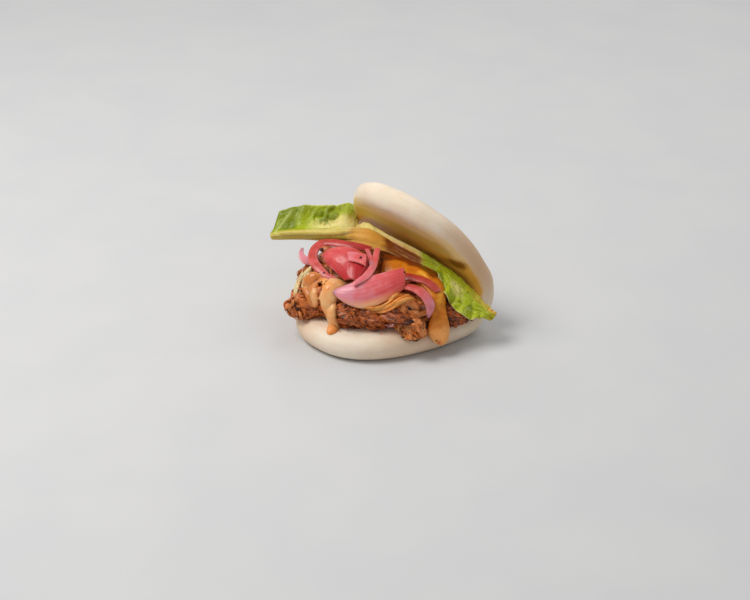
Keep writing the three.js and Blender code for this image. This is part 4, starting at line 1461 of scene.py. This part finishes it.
@dataclass
class Sauce:
    """Spiced mayonnaise that clings to the heap and runs down over its front.

    It is worked out as heights over a flat sheet that faces `towards`: below lies the
    smoothed front of the heap and of the bun, above it the sauce with its own thickness.
    """

    runs: tuple[Run, ...] = (
        Run(((0.3, -37.8, 29.7), (-2.1, -42.1, 29.7), (-4.3, -46.6, 28.9), (-3.4, -49.5, 26),
             (-1, -51.2, 22.1), (1.6, -52.8, 17.8), (4.2, -55.4, 13.2)),
            (2.2, 3.0, 4.4, 4.5, 4.0, 3.2, 2.8), (1.4, 1.6, 2.3, 2.4, 2.2, 2.2, 2.3)),
        Run(((-16.3, -43.1, 29.1), (-16.8, -47.4, 29.4), (-15.4, -50, 27.1), (-13, -51, 24.6),
             (-10.4, -52.5, 22.3)),
            (2.4, 4.2, 4.5, 4.0, 2.6), (1.2, 1.7, 2.1, 2.1, 1.5)),
        Run(((-4.8, -46, 28.6), (-10.8, -44.2, 29.3), (-16.3, -43.3, 29)), (2.6, 1.6, 2.2), (1.2, 0.8, 1.2)),
    )
    towards: Point = (0.35, -0.75, 0.55)
    cell: float = 0.24
    margin: float = 7.0
    steps: int = 90
    smoothing: int = 16

    def spread(self, heap: "Pork", bun: Bun) -> tuple[Sheet, Array, Array]:
        """The sauce over its flat sheet.

        Each run adds a rounded bead: its thickness times the root of 1 - (distance / width)^2,
        with noise in the width. The thickest bead counts.

        Args:
            heap: the pork that it lies on.
            bun: the bun that it runs onto.

        Returns:
            The surface it lies on, its thickness, and how far down it has run from 0 to 1.
        """
        out = unit(np.array(self.towards))
        right = unit(np.cross(np.array([0.0, 0.0, 1.0]), out))
        up = np.cross(out, right)
        share = np.linspace(0, 1, self.steps)
        lines = [evenly(np.array(run.line, float), share) for run in self.runs]
        flat = np.concatenate([np.stack([line @ right, line @ up], -1) for line in lines])
        low, high = flat.min(0) - self.margin, flat.max(0) + self.margin
        ga, gb = np.meshgrid(*(np.arange(low[k], high[k], self.cell) for k in (0, 1)), indexing="ij")
        origins = ga[..., None] * right + gb[..., None] * up
        front = blurred(np.maximum(heap.front(origins, out), bun.front(origins, out)), self.smoothing)
        grain = Grain(31)
        here = np.stack([ga, gb, 0 * ga], axis=-1)
        ragged = 1 + 0.2 * grain.at(here, 3.8) + 0.06 * grain.at(here, 1.3)
        thick = np.zeros_like(ga)
        for run, line in zip(self.runs, lines):
            s = np.linspace(0, 1, len(run.wide))
            wide, deep = np.interp(share, s, run.wide), np.interp(share, s, run.thick)
            for spot, w, t in zip(line, wide, deep):
                gap = ((ga - spot @ right) ** 2 + (gb - spot @ up) ** 2) / (w * ragged) ** 2
                thick = np.maximum(thick, t * np.sqrt(np.clip(1 - gap, 0, 1)))
        points = origins + front[..., None] * out
        u, v = (ga - low[0]) / (high[0] - low[0]), (gb - low[1]) / (high[1] - low[1])
        return Sheet.from_grid(points, u, v), blurred(thick, 2), 1 - v

    def serve(self, kitchen: Kitchen, heap: "Pork", bun: Bun) -> list[Cover]:
        """Makes the sauce as one closed piece and says where it keeps the pork away."""
        bed, thick, run = self.spread(heap, bun)
        grain = Grain(33)
        waves = 1 + 0.2 * grain.at(bed.points, 4.2) + 0.05 * grain.at(bed.points, 1.5)
        body = thick * waves
        tip = smoothstep(run, 0.72, 0.9)
        traits = {
            "rich": 0.18 + 0.55 * tip + 0.3 * smoothstep(grain.at(bed.points, 6.0), -0.2, 0.7),
            "stained": 0.75 * smoothstep(-bed.points[..., 0], 9.5, 12.5),
        }
        shell = bed.blanket(body + 0.25, 0.6, thick > 0.25, traits)
        material = SpicedMayonnaise().material()
        kitchen.plate("spiced_sauce", shell, material, Slot.SAUCE, "sauce")
        wet = (thick > 0.3)[::5, ::5]
        points = (bed.points + bed.outs * (body * 0.3)[..., None])[::5, ::5][wet]
        return [Cover(points, bed.outs[::5, ::5][wet], 0.2, 1.2, 4.0)]


# --- pork


@dataclass(frozen=True)
class Clump:
    """A lump of pulled pork: an uneven ellipsoid with shreds laid over it, in mm."""

    at: Point
    half: Point
    turn: float
    seed: int
    shreds: int
    tone: float = 0.5
    saucy: float = 0.0
    way: Point = (1.0, 0.0, 0.0)
    rough: float = 0.12

    def spin(self) -> Array:
        """The lump's turn about the vertical."""
        c, s = cos(radians(self.turn)), sin(radians(self.turn))
        return np.array([[c, -s, 0], [s, c, 0], [0, 0, 1]])

    def uneven(self, ways: Array) -> Array:
        """Six seeded waves over the ball of directions that make the lump uneven."""
        draws = steady_draws(self.seed, 24)
        total = np.zeros(ways.shape[:-1])
        for k in range(6):
            x, y, z, start = draws[4 * k:4 * k + 4]
            way = unit(np.array([x - 0.5, y - 0.5, z - 0.5]))
            total += np.sin(ways @ way * (1.6 + 0.7 * k) * 2 + start * 2 * pi)
        return total / 3

    def surface(self, ways: Array, lift: Array) -> Array:
        """Points of the lump in those directions, lifted off it."""
        reach = 1 + self.rough * self.uneven(ways)
        local = ways * np.array(self.half) * reach[..., None] + ways * lift[..., None]
        return local @ self.spin().T + np.array(self.at)

    def depth_in(self, points: Array) -> Array:
        """How deep points lie in the lump: 1 at its middle, 0 on its surface."""
        local = (points - np.array(self.at)) @ self.spin()
        return 1 - np.linalg.norm(local / np.array(self.half), axis=-1)

    def front(self, origins: Array, out: Array) -> Array:
        """How far along `out` from each origin the lump's front is, or far below if it misses.

        The ellipsoid is brought to a ball of radius 1, where the way that leaves it last is
        the larger root of a square equation.
        """
        start = ((origins - np.array(self.at)) @ self.spin()) / np.array(self.half)
        way = (out @ self.spin()) / np.array(self.half)
        b, a = start @ way, way @ way
        inner = b * b - a * ((start**2).sum(-1) - 1.06**2)
        return np.where(inner > 0, (-b + np.sqrt(np.maximum(inner, 0))) / a, MISSED)


@dataclass
class Pork:
    """The heap of pulled pork: dark lumps with a torn surface, and shreds that lie on them."""

    clumps: tuple[Clump, ...] = (
        Clump((0, -16, 18), (38.5, 27, 12.5), 0, 20, 60, 0.4),
        Clump((-13, -24, 26), (18, 14, 12), 15, 21, 46, 0.42),
        Clump((0, -8, 24.5), (29, 9, 6.5), -8, 22, 10, 0.4),
        Clump((-7, -15.5, 30), (9, 5, 7), -20, 23, 8, 0.3),
        Clump((-20, -39, 24), (10.5, 9, 10.5), 30, 24, 46, 0.62, 0.1, (0.5, -0.5, -0.9)),
        Clump((-8, -43.5, 21), (10, 8, 9.5), 0, 25, 36, 0.5, 0.05),
        Clump((-18.5, -51, 16), (9, 7.5, 8.5), 35, 26, 50, 0.62, 0.1, (0.8, 0.3, -0.5)),
        Clump((4, -44, 18), (9.5, 7.5, 7), 0, 27, 44, 0.42, 0.0, (0.9, 0.3, 0.25)),
        Clump((13, -38, 18.5), (9.5, 7, 7.5), 35, 28, 44, 0.45, 0.02, (0.9, 0.4, -0.1)),
        Clump((25, -27, 20), (9.5, 7.5, 8.5), 35, 29, 56, 0.9, 0.1, (0.5, 0.5, -0.8)),
        Clump((31, -28, 14.5), (8, 6, 6.5), 20, 30, 44, 0.88, 0.1, (0.4, -0.3, -0.9)),
        Clump((34, -30.5, 10.5), (5, 4.5, 4.5), 0, 31, 24, 0.85, 0.1, (0.6, 0.2, -0.8)),
        Clump((38, -5, 15.5), (7, 8.5, 6.5), 0, 32, 34, 0.35, -0.05, (0.2, 0.6, -0.8)),
        Clump((-33, -19, 19), (9, 14, 8.5), 0, 33, 30, 0.42),
    )
    steps: int = 12
    sides: int = 28
    large_half: float = 15.0
    large_cuts: tuple[int, int] = (110, 160)
    small_cuts: tuple[int, int] = (88, 128)
    shred_depth: float = 0.09
    fibre_depth: float = 0.05

    def front(self, origins: Array, out: Array) -> Array:
        """How far along `out` from each origin the front of the heap is."""
        return np.max([clump.front(origins, out) for clump in self.clumps], axis=0)

    def core(self, clump: Clump, covers: list[Cover]) -> Shell:
        """One lump: a ball's directions pushed out to the lump and torn along its grain.

        The tearing is noise whose places are drawn together along the grain, so that its
        ridges run that way.

        Args:
            clump: the lump.
            covers: what it stays below.

        Returns:
            The closed lump.
        """
        rings, sides = self.large_cuts if max(clump.half) > self.large_half else self.small_cuts
        polar = (np.arange(rings) + 1) / (rings + 1) * pi
        a, b = np.meshgrid(polar, full_turn(sides), indexing="ij")
        ways = np.stack([np.sin(a) * np.cos(b), np.sin(a) * np.sin(b), np.cos(a)], axis=-1)
        way = unit(np.array(clump.way, float))
        base = clump.surface(ways, np.zeros_like(a))
        drawn = base - 0.65 * (base @ way)[..., None] * way
        grain = Grain(clump.seed)
        torn = 1 - np.abs(grain.at(drawn, 1.4)) * 2
        ragged = 1 - np.abs(grain.at(drawn + 50, 3.4)) * 2
        chips = 1 - np.abs(grain.at(drawn + 90, 0.8)) * 2
        lift = 0.4 * torn + 0.95 * ragged + 0.16 * chips - 1.0
        points = below(covers, clump.surface(ways, lift), np.zeros(1))
        # depth and groove: painted shade in the torn surface's pits and grooves.
        traits = {
            "tone": clump.tone + 0.1 * torn + 0.06 * chips,
            "saucy": np.full_like(a, clump.saucy),
            "depth": 0.75 - smoothstep(lift, -1.5, 0.2) * 0.7,
            "groove": smoothstep(torn + 0.4 * chips, 0.3, -0.4),
        }
        return lofted(points, np.stack([a / pi, b / (2 * pi)], axis=-1), traits)

    def lines(self, clump: Clump) -> tuple[Array, Array, Array, Array]:
        """The middle lines of the shreds on one lump.

        A shred starts in a direction and runs round the lump in a plane through it, close to
        the lump's grain. Some arch off it in the middle and some lift one end.

        Args:
            clump: the lump.

        Returns:
            The lines, the outward sides, the half widths and each shred's tone.
        """
        rng = np.random.default_rng(clump.seed + 100)
        n, k = clump.shreds, self.steps
        start = unit(rng.normal(size=(n * 2, 1, 3)))
        hidden = (clump.surface(start, np.zeros((n * 2, 1)))[:, 0, 2] < 12.0) | (start[:, 0, 1] > 0.75)
        start = start[~hidden][:n]
        n = len(start)
        grain = np.array(clump.way, float) @ clump.spin() + rng.normal(size=(n, 1, 3)) * 0.5
        run = unit(grain - (grain * start).sum(-1, keepdims=True) * start)
        beside = np.cross(start, run)
        size = float(np.mean(clump.half))
        long = rng.uniform(3.5, 10.5, (n, 1)) * (0.75 + 0.02 * size)
        s = np.linspace(-0.5, 0.5, k)[None] * np.ones((n, 1))
        turn = s * long / size
        half = rng.uniform(0.5, 1.35, (n, 1)) * (0.8 + 0.012 * size)
        sway = np.sin(s * rng.uniform(2, 6, (n, 1)) + rng.uniform(0, 6, (n, 1)))
        aside = (sway * rng.uniform(0.2, 1.3, (n, 1)) / size)[..., None] * beside
        ways = unit(np.cos(turn)[..., None] * start + np.sin(turn)[..., None] * run + aside)
        arch = rng.uniform(-0.9, 0.9, (n, 1)) * (1 - 4 * s**2)
        free = rng.uniform(0.0, 1.0, (n, 1)) ** 4 * 2.4 * np.clip(s + 0.1, 0, 1) ** 2 * 3
        lines = clump.surface(ways, arch + free - 0.3 * half - 0.3)
        tone = clump.tone + rng.normal(size=n) * 0.17
        return lines, ways, half[:, 0], tone

    def outermost(self, clump: Clump, line: Array, depth: float) -> Array:
        """Which lines on a lump have their middle less deep than that in every other lump."""
        middle = line[:, self.steps // 2]
        others = [other.depth_in(middle) for other in self.clumps if other is not clump]
        return np.max(others, axis=0) < depth

    def shreds(self, covers: list[Cover], own: slice) -> Shell:
        """The shreds of some of the lumps.

        Args:
            covers: what they stay below.
            own: which lumps.

        Returns:
            All of them as one shell.
        """
        found: list[tuple[Array, ...]] = []
        for clump in self.clumps[own]:
            line, out, half, tone = self.lines(clump)
            keep = self.outermost(clump, line, self.shred_depth)
            saucy = np.full(keep.sum(), clump.saucy)
            found.append((line[keep], out[keep], half[keep], tone[keep], saucy))
        line, out, half, tone, saucy = (np.concatenate(x) for x in zip(*found))
        line = below(covers, line, half[:, None] * 0.85)
        return ridged(line, out, half, self.sides, {"tone": tone, "saucy": saucy}, own.start + 1)

    def fibres(self, covers: list[Cover]) -> Shell:
        """Fine loose fibres that lie over the shreds."""
        rng = np.random.default_rng(77)
        found: list[tuple[Array, ...]] = []
        for clump in self.clumps:
            line, out, _, tone = self.lines(clump)
            pick = rng.permutation(len(line))[: len(line) * 3 // 4]
            off = rng.normal(size=(len(pick), 1, 3)) * 0.7
            off = off + out[pick] * rng.uniform(0.2, 1.2, (len(pick), 1, 1))
            keep = self.outermost(clump, line[pick], self.fibre_depth)
            saucy = np.full(keep.sum(), clump.saucy)
            found.append(((line[pick] + off)[keep], out[pick][keep], tone[pick][keep] + 0.15, saucy))
        path, out, tone, saucy = (np.concatenate(x) for x in zip(*found))
        radius = rng.uniform(0.12, 0.3, len(path))
        path = below(covers, path, radius[:, None])
        traits = {"tone": tone, "saucy": saucy, "depth": 0 * tone, "groove": 0 * tone}
        return tubes(path, out, radius, 5, traits)

    def serve(self, kitchen: Kitchen, covers: list[Cover]) -> None:
        """Makes the lumps, the shreds and the fibres."""
        material = PulledPorkGlaze().material()
        cores = [self.core(clump, covers) for clump in self.clumps]
        kitchen.plate("pork_lumps", merged(cores[:6]), material, Slot.PORK, "pulled_pork")
        kitchen.plate("pork_lumps_low", merged(cores[6:]), material, Slot.PORK)
        kitchen.plate("pork_shreds_back", self.shreds(covers, slice(0, 6)), material, Slot.PORK)
        kitchen.plate("pork_shreds_front", self.shreds(covers, slice(6, 14)), material, Slot.PORK)
        kitchen.plate("pork_fibres", self.fibres(covers), material, Slot.PORK)


def swept(line: Array, facing: Array, size: Array, flat: Array, traits: Traits) -> Shell:
    """Closed bodies along many lines, each with oval rings that stand square to its line.

    Args:
        line: points, in an array of bodies, steps and 3.
        facing: a direction at each point that isn't along the line.
        size: how far each point of a ring reaches, in an array of bodies, steps and sides.
        flat: the rings' height as a share of their width.
        traits: numbers by name, in arrays that spread over bodies, steps and sides.

    Returns:
        One shell of all the bodies.
    """
    along = unit(np.gradient(line, axis=1))
    across = unit(np.cross(along, facing))
    out = np.cross(across, along)
    turn = full_turn(size.shape[2])
    rings = (
        line[:, :, None]
        + across[:, :, None] * (size * np.cos(turn))[..., None]
        + out[:, :, None] * (size * flat * np.sin(turn))[..., None]
    )
    share = np.linspace(0.0, 1.0, size.shape[1])[:, None]
    uv = np.stack(np.broadcast_arrays(share, turn / (2 * pi)), axis=-1)
    spread = {name: np.broadcast_to(values, size.shape) for name, values in traits.items()}
    return lofted_many(rings, np.broadcast_to(uv, size.shape + (2,)), spread)


def ridged(line: Array, facing: Array, half: Array, sides: int, traits: Traits, seed: int) -> Shell:
    """Closed shreds of meat along many lines, each a flat bundle of fibres.

    A ring's reach is the half width times a taper of 1 - 0.6 |s|^p, and is notched between
    the fibres: lobes follow |cos| of an angle that twists along the shred. Noise along the
    shred makes every one different.

    Args:
        line: points, in an array of shreds, steps and 3.
        facing: a direction at each point that isn't along the line.
        half: each shred's half width.
        sides: points on a ring.
        traits: one number for each shred, by name.
        seed: what the shreds' differences come from.

    Returns:
        One shell of all shreds, with how deep in a groove each point lies and how far under the shred, both
        for painted shade.
    """
    rng = np.random.default_rng(seed)
    n, k = line.shape[:2]
    s = np.linspace(-1.0, 1.0, k)[None, :, None]
    turn = full_turn(sides)
    lobes = rng.integers(3, 6, (n, 1, 1))
    twist = rng.uniform(-0.5, 0.5, (n, 1, 1)) * s
    lobe = np.abs(np.cos(lobes * (turn + twist + rng.uniform(0, 6, (n, 1, 1))))) ** 0.6
    second = np.sin((turn + twist) * (lobes * 2 + 1) + rng.uniform(0, 6, (n, 1, 1)))
    waist = 1 + 0.14 * np.sin(s * rng.uniform(2, 7, (n, 1, 1)) + rng.uniform(0, 6, (n, 1, 1)))
    ends = 1 - 0.6 * np.abs(s) ** rng.uniform(2.5, 5.0, (n, 1, 1))
    jag = 1 + 0.16 * rng.normal(size=(n, k, 1)) * np.abs(s) ** 2
    size = half[:, None, None] * ends * waist * jag * (0.78 + 0.26 * lobe + 0.05 * second)
    painted = {name: values[:, None, None] for name, values in traits.items()}
    # Painted shade: darker in the grooves between fibres, on each shred's underside and towards its ends.
    painted["groove"] = 1 - smoothstep(lobe, 0.2, 0.75)
    painted["depth"] = 0.75 * (0.5 - 0.5 * np.sin(turn)) ** 2 + 0.25 * np.abs(s) ** 4
    return swept(line, facing, size, rng.uniform(0.5, 0.85, (n, 1, 1)), painted)


def tubes(path: Array, facing: Array, radius: Array, sides: int, traits: Traits) -> Shell:
    """Closed tubes along many paths, each with its own radius and its own number per trait.

    The radius is full in the middle and falls off as 1 - 0.75 s^4 towards the ends.
    """
    s = np.linspace(-1.0, 1.0, path.shape[1])[None, :, None]
    size = radius[:, None, None] * (1 - 0.75 * s**4) * np.ones(sides)
    painted = {name: values[:, None, None] for name, values in traits.items()}
    return swept(path, facing, size, np.full(1, 0.8), painted)


# --- garnish


@dataclass(frozen=True)
class Sight:
    """Finds the surface that shows at a place of the photograph's picture.

    The place is given in pixels. Among the points that lie within `wide` pixels of it, the
    one nearest to the camera is on the visible surface.
    """

    points: Array
    outs: Array
    pixels: Array
    nearness: Array
    wide: float = 0.6

    @classmethod
    def of(cls, kitchen: Kitchen, studio: "Studio", only: str = "") -> "Sight":
        """Everything made so far whose name starts with `only`, as the camera sees it."""
        shown = [pair for name, pair in kitchen.shown.items() if name.startswith(only)]
        points, outs = (np.concatenate(part) for part in zip(*shown))
        return cls(points, outs, *studio.pixels_of(points))

    def at(self, spots: Array) -> tuple[Array, Array]:
        """The visible surface's points and outward sides at places of the picture."""
        found = []
        for spot in spots:
            gap = np.abs(self.pixels - spot).max(axis=1)
            near = np.flatnonzero(gap < max(self.wide, float(gap.min()) * 1.01))
            found.append(near[self.nearness[near].argmax()])
        return self.points[found], self.outs[found]


class Garnish:
    """Small things on the filling: pepper, loose strands, crumbs and bits of onion."""

    pepper: Line = (
        (361, 257, 0.7), (321.5, 249, 0.8), (323.5, 272.5, 0.45), (329.5, 272.5, 0.6), (326, 281, 0.4),
        (321, 282, 0.5), (324, 284, 0.35), (355, 311, 0.6), (405, 272, 0.7), (321.5, 325, 0.8),
        (391, 316, 0.6), (410, 309, 0.9), (413, 322, 0.7), (297, 309, 0.8), (352, 316, 0.5), (366, 322, 0.6),
        (318.5, 272, 0.4), (436, 341, 0.5), (340, 318, 0.5), (402, 332, 0.6), (304, 318, 0.5),
        (455, 283, 0.3), (468, 292, 0.35), (459, 301, 0.3), (474, 297, 0.3),
    )
    crumbs: Line = (
        (339, 331, 0.5), (343, 333, 0.4), (349, 331.5, 0.55), (354, 334, 0.35), (346, 330, 0.3),
        (382, 334, 0.5), (397, 337, 0.4), (312, 324, 0.35),
    )
    straws: tuple[Line, ...] = (
        ((293, 298, 0.4), (294.5, 291, 1.0), (297.5, 283, 1.4), (301, 275, 1.8), (305, 268, 1.6)),
        ((307, 288, 0.6), (307.5, 281, 1.4), (309.5, 274, 2.2), (312.5, 268, 2.2), (315, 264, 1.6)),
    )
    ribbons: tuple[Line, ...] = (
        ((362, 307, 1.0), (374, 308, 1.6), (385, 303.5, 2.0), (395, 295.5, 2.0), (405, 292, 1.6),
         (414, 294.5, 1.0)),
        ((371, 310.5, 0.6), (382, 312.5, 1.0), (391, 309.5, 1.4), (400, 304, 1.6), (409, 300, 1.4),
         (419, 301, 0.8)),
    )
    far_ribbons: tuple[Line, ...] = (
        ((405, 285, 1.0), (412, 285, 1.4), (419, 286, 1.4), (426, 288.5, 1.2), (433, 292, 0.8)),
        ((405, 290, 0.8), (412, 290.5, 1.2), (419, 292, 1.2), (425, 294, 1.0), (430, 297, 0.6)),
    )
    bit: tuple[Line, ...] = (
        ((385, 325.5, 1.0), (389, 324.5, 1.4), (394, 323, 1.0)),
        ((386, 326.5, 0.8), (390, 325.5, 1.2), (395, 324, 0.8)),
    )
    scraps: tuple[Line, ...] = (
        ((320, 251.5, 22), (326, 252.8, 23), (334, 250.2, 23)),
        ((322, 246.5, 21), (328, 246.3, 22), (336, 248.5, 22.5)),
    )

    def flakes(self, sight: Sight, spots: Line, flat: float, seed: int) -> Shell:
        """Small angular bits that lie on whatever shows at their places.

        A bit is three rings of five corners, pulled about at random and laid flat on the
        surface, sunk in it by a fifth of its height.

        Args:
            sight: where the surfaces are.
            spots: each bit's place in the picture and its half width in mm.
            flat: its height as a share of its width.
            seed: what its form comes from.

        Returns:
            All the bits as one shell.
        """
        table = np.array(spots)
        rng = np.random.default_rng(seed)
        places, outs = sight.at(table[:, :2])
        n = len(table)
        side = unit(np.cross(outs, rng.normal(size=(n, 3))))
        other = np.cross(outs, side)
        turn = full_turn(5)
        reach = np.array([0.55, 1.0, 0.5])[None, :, None] * rng.uniform(0.65, 1.25, (n, 3, 5))
        rise = np.array([-0.7, 0.1, 0.9])[None, :, None] + rng.uniform(-0.2, 0.2, (n, 3, 5))
        size = table[:, 2, None, None]
        longer = rng.uniform(1.0, 1.6, (n, 1, 1))
        rings = (
            places[:, None, None]
            + side[:, None, None] * (size * reach * longer * np.cos(turn))[..., None]
            + other[:, None, None] * (size * reach * np.sin(turn))[..., None]
            + outs[:, None, None] * (size * flat * (rise + 0.5))[..., None]
        )
        return lofted_many(rings, np.zeros(rings.shape[:3] + (2,)), {})

    def strands(
        self,
        studio: "Studio",
        sight: Sight,
        edges: tuple[Line, ...],
        count: int,
        radius: float,
        traits: dict[str, float],
    ) -> Shell:
        """Strands that lie on the meat side by side, between two lines of the picture.

        Args:
            studio: what turns pixels and nearness in mm into points.
            sight: where the meat's surface is.
            edges: the two outer lines' knots, each a place and how far off the meat it is in mm.
            count: how many strands there are.
            radius: their radius in mm.
            traits: one number for all of them, by name.

        Returns:
            All strands as one shell.
        """
        rng = np.random.default_rng(5)
        back = np.array(studio.axes()[0])
        first, last = (np.array(edge) for edge in edges)
        across = np.clip(np.linspace(0.0, 1.0, count) + rng.normal(size=count) * 0.25 / count, 0, 1)
        knots = mix(first, last, across[:, None, None])
        knots[..., 2] += (sight.at(knots[..., :2].reshape(-1, 2))[0] @ back).reshape(knots.shape[:2])
        knots[..., 2] += rng.uniform(-0.5, 0.5, (count, 1))
        places = studio.points_at(knots.reshape(-1, 3)).reshape(knots.shape)
        begin, stop = rng.uniform(0.0, 0.12, count), rng.uniform(0.86, 1.0, count)
        share = np.linspace(0.0, 1.0, 30)
        paths = np.stack([evenly(place, mix(a, b, share)) for place, a, b in zip(places, begin, stop)])
        sizes = radius * rng.uniform(0.6, 1.35, count)
        painted = {name: np.full(count, value) for name, value in traits.items()}
        return tubes(paths, np.broadcast_to(back, paths.shape), sizes, 10, painted)

    def serve(self, kitchen: Kitchen, studio: "Studio") -> None:
        """Makes the strands first and then the bits, which may lie on them."""
        meat = {"tone": 1.05, "saucy": -0.2, "depth": 0.0, "groove": 0.0}
        pork = PulledPorkGlaze().material()
        meat_only = Sight.of(kitchen, studio, "pork_lumps")
        straws = self.strands(studio, meat_only, self.straws, 11, 0.75, {})
        kitchen.plate("pale_strands", straws, PaleFibre().material(), Slot.PORK)
        creamy = {"rich": 0.85, "stained": 0.0}
        near = self.strands(studio, meat_only, self.ribbons, 13, 0.85, creamy)
        ribbons = merged([near, self.strands(studio, meat_only, self.far_ribbons, 5, 0.8, creamy)])
        kitchen.plate("sauce_strands", ribbons, SpicedMayonnaise().material(), Slot.SAUCE)
        right, left = (tuple(map(tuple, studio.points_at(np.array(edge)))) for edge in self.scraps)
        scrap = Band(right, left, 0.1, 60, 24).sheet()
        brown = {name: np.full_like(scrap.u, value) for name, value in {**meat, "tone": 0.55}.items()}
        kitchen.plate("browned_scrap", scrap.thickened(1.2, 5.0, brown), pork, Slot.PORK)
        onion = {"blush": -0.6, "oily": 0.0, "lower": 0.0, "edge": 1.0}
        bit = self.strands(studio, meat_only, self.bit, 2, 0.8, onion)
        kitchen.plate("onion_bit", bit, PickledOnion().material(), Slot.ONION)
        sight = Sight.of(kitchen, studio)
        pepper = self.flakes(sight, self.pepper, 0.55, 41)
        kitchen.plate("pepper_flakes", pepper, CrackedPepper().material(), Slot.PORK)
        crumbs = self.flakes(sight, self.crumbs, 0.6, 42)
        crumbs.traits = {name: np.full(len(crumbs.points), value) for name, value in meat.items()}
        kitchen.plate("meat_crumbs", crumbs, pork, Slot.PORK)


# --- studio


@dataclass(frozen=True)
class Studio:
    """The floor, the soft light and the camera at the photograph's viewing angle."""

    azimuth: float = 45.0
    elevation: float = 28.3
    distance: float = 900.0
    off_right: float = 15.0
    off_up: float = -6.0
    focal: float = 86.4
    film: float = 36.0
    picture: tuple[int, int] = (750, 600)
    floor_half: float = 6.0

    def axes(self) -> tuple[Vector, Vector, Vector]:
        """The directions back to the camera, right and up in its picture."""
        a, e = radians(self.azimuth), radians(self.elevation)
        back = Vector((sin(a) * cos(e), -cos(a) * cos(e), sin(e)))
        right = Vector((cos(a), sin(a), 0.0))
        return back, right, back.cross(right)

    @property
    def scale(self) -> float:
        """How many pixels something as wide as it is far away takes up."""
        return self.focal / self.film * self.picture[0]

    def pixels_of(self, points: Array) -> tuple[Array, Array]:
        """Where points of the bun's frame show, and how near the camera they are in mm."""
        back, right, up = (np.array(axis) for axis in self.axes())
        nearness = points @ back
        larger = self.scale / (self.distance - nearness)
        across = self.picture[0] / 2 + larger * (points @ right + self.off_right)
        down = self.picture[1] / 2 - larger * (points @ up + self.off_up)
        return np.stack([across, down], axis=-1), nearness

    def points_at(self, sights: Array) -> Array:
        """Points of the bun's frame from rows of px, py and nearness to the camera in mm."""
        back, right, up = (np.array(axis) for axis in self.axes())
        smaller = (self.distance - sights[:, 2:]) / self.scale
        across = (sights[:, :1] - self.picture[0] / 2) * smaller - self.off_right
        rise = (self.picture[1] / 2 - sights[:, 1:2]) * smaller - self.off_up
        return back * sights[:, 2:] + right * across + up * rise

    def camera(self, bench: Bench) -> None:
        """Stands the camera where the bun's own frame has its view point."""
        back, right, up = self.axes()
        target = -(right * self.off_right + up * self.off_up) + Vector(bench.shift)
        eye = bpy.data.objects.new("camera", bpy.data.cameras.new("camera"))
        eye.data.lens = self.focal
        eye.data.clip_start, eye.data.clip_end = 0.05, 50.0
        turn = Matrix((right, up, back)).transposed().to_4x4()
        eye.matrix_world = Matrix.Translation((target + back * self.distance) * MM) @ turn
        bpy.context.scene.collection.objects.link(eye)
        bpy.context.scene.camera = eye

    def lamp(self, name: str, place: Point, size: float, power: float, tint: Point) -> None:
        """A square soft light at a place in metres that points at the bun."""
        light = bpy.data.lights.new(name, "AREA")
        light.shape = "SQUARE"
        light.size, light.energy, light.color = size, power, tint
        lamp = bpy.data.objects.new(name, light)
        lamp.location = place
        lamp.rotation_mode = "QUATERNION"
        lamp.rotation_quaternion = (Vector((0, 0, 0.03)) - Vector(place)).to_track_quat("-Z", "Y")
        bpy.context.scene.collection.objects.link(lamp)

    def floor(self) -> None:
        """A wide flat floor just under the bun."""
        half = self.floor_half
        mesh = bpy.data.meshes.new("floor")
        corners = [(-half, -half, 0), (half, -half, 0), (half, half, 0), (-half, half, 0)]
        mesh.from_pydata(corners, [], [(0, 1, 2, 3)])
        mesh.materials.append(StudioFloor().material())
        floor = bpy.data.objects.new("floor", mesh)
        bpy.context.scene.collection.objects.link(floor)

    def set_up(self, bench: Bench) -> None:
        """Makes the camera, the lights, the floor and the even sky."""
        self.camera(bench)
        self.floor()
        self.lamp("softbox_key", (-0.32, -0.42, 0.85), 0.5, 6.4, (1.0, 0.985, 0.96))
        self.lamp("softbox_back", (-0.1, 0.6, 0.8), 0.6, 2.0, (1.0, 0.99, 0.98))
        world = bpy.data.worlds.new("even_sky")
        world.use_nodes = True
        sky = world.node_tree.nodes["Background"]
        sky.inputs["Color"].default_value = (0.98, 0.99, 1.0, 1.0)
        sky.inputs["Strength"].default_value = 0.42
        bpy.context.scene.world = world
        bpy.context.scene.view_settings.view_transform = "Standard"


# --- main


def main() -> None:
    """Loads the frame, builds each part of the gua bao round it and the studio."""
    logging.basicConfig(level=logging.INFO, format="%(name)s: %(message)s")
    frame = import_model()
    log.info("frame with nodes %s", sorted(frame["nodes"]))
    bun = Bun()
    low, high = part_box("bun")
    bench = Bench((high.x / MM - bun.half_width, low.y / MM + bun.lower_reach, low.z / MM))
    kitchen = Kitchen(bench)
    bun.serve(kitchen)
    covers = [bun.inner_face(), LettuceLeaf().serve(kitchen)]
    covers += Onions().serve(kitchen)
    covers.append(Cheese().serve(kitchen))
    heap, studio = Pork(), Studio()
    covers += Sauce().serve(kitchen, heap, bun)
    heap.serve(kitchen, covers)
    Garnish().serve(kitchen, studio)
    studio.set_up(bench)
    log.info("made %s", ", ".join(kitchen.shown))


if __name__ == "__main__":
    main()
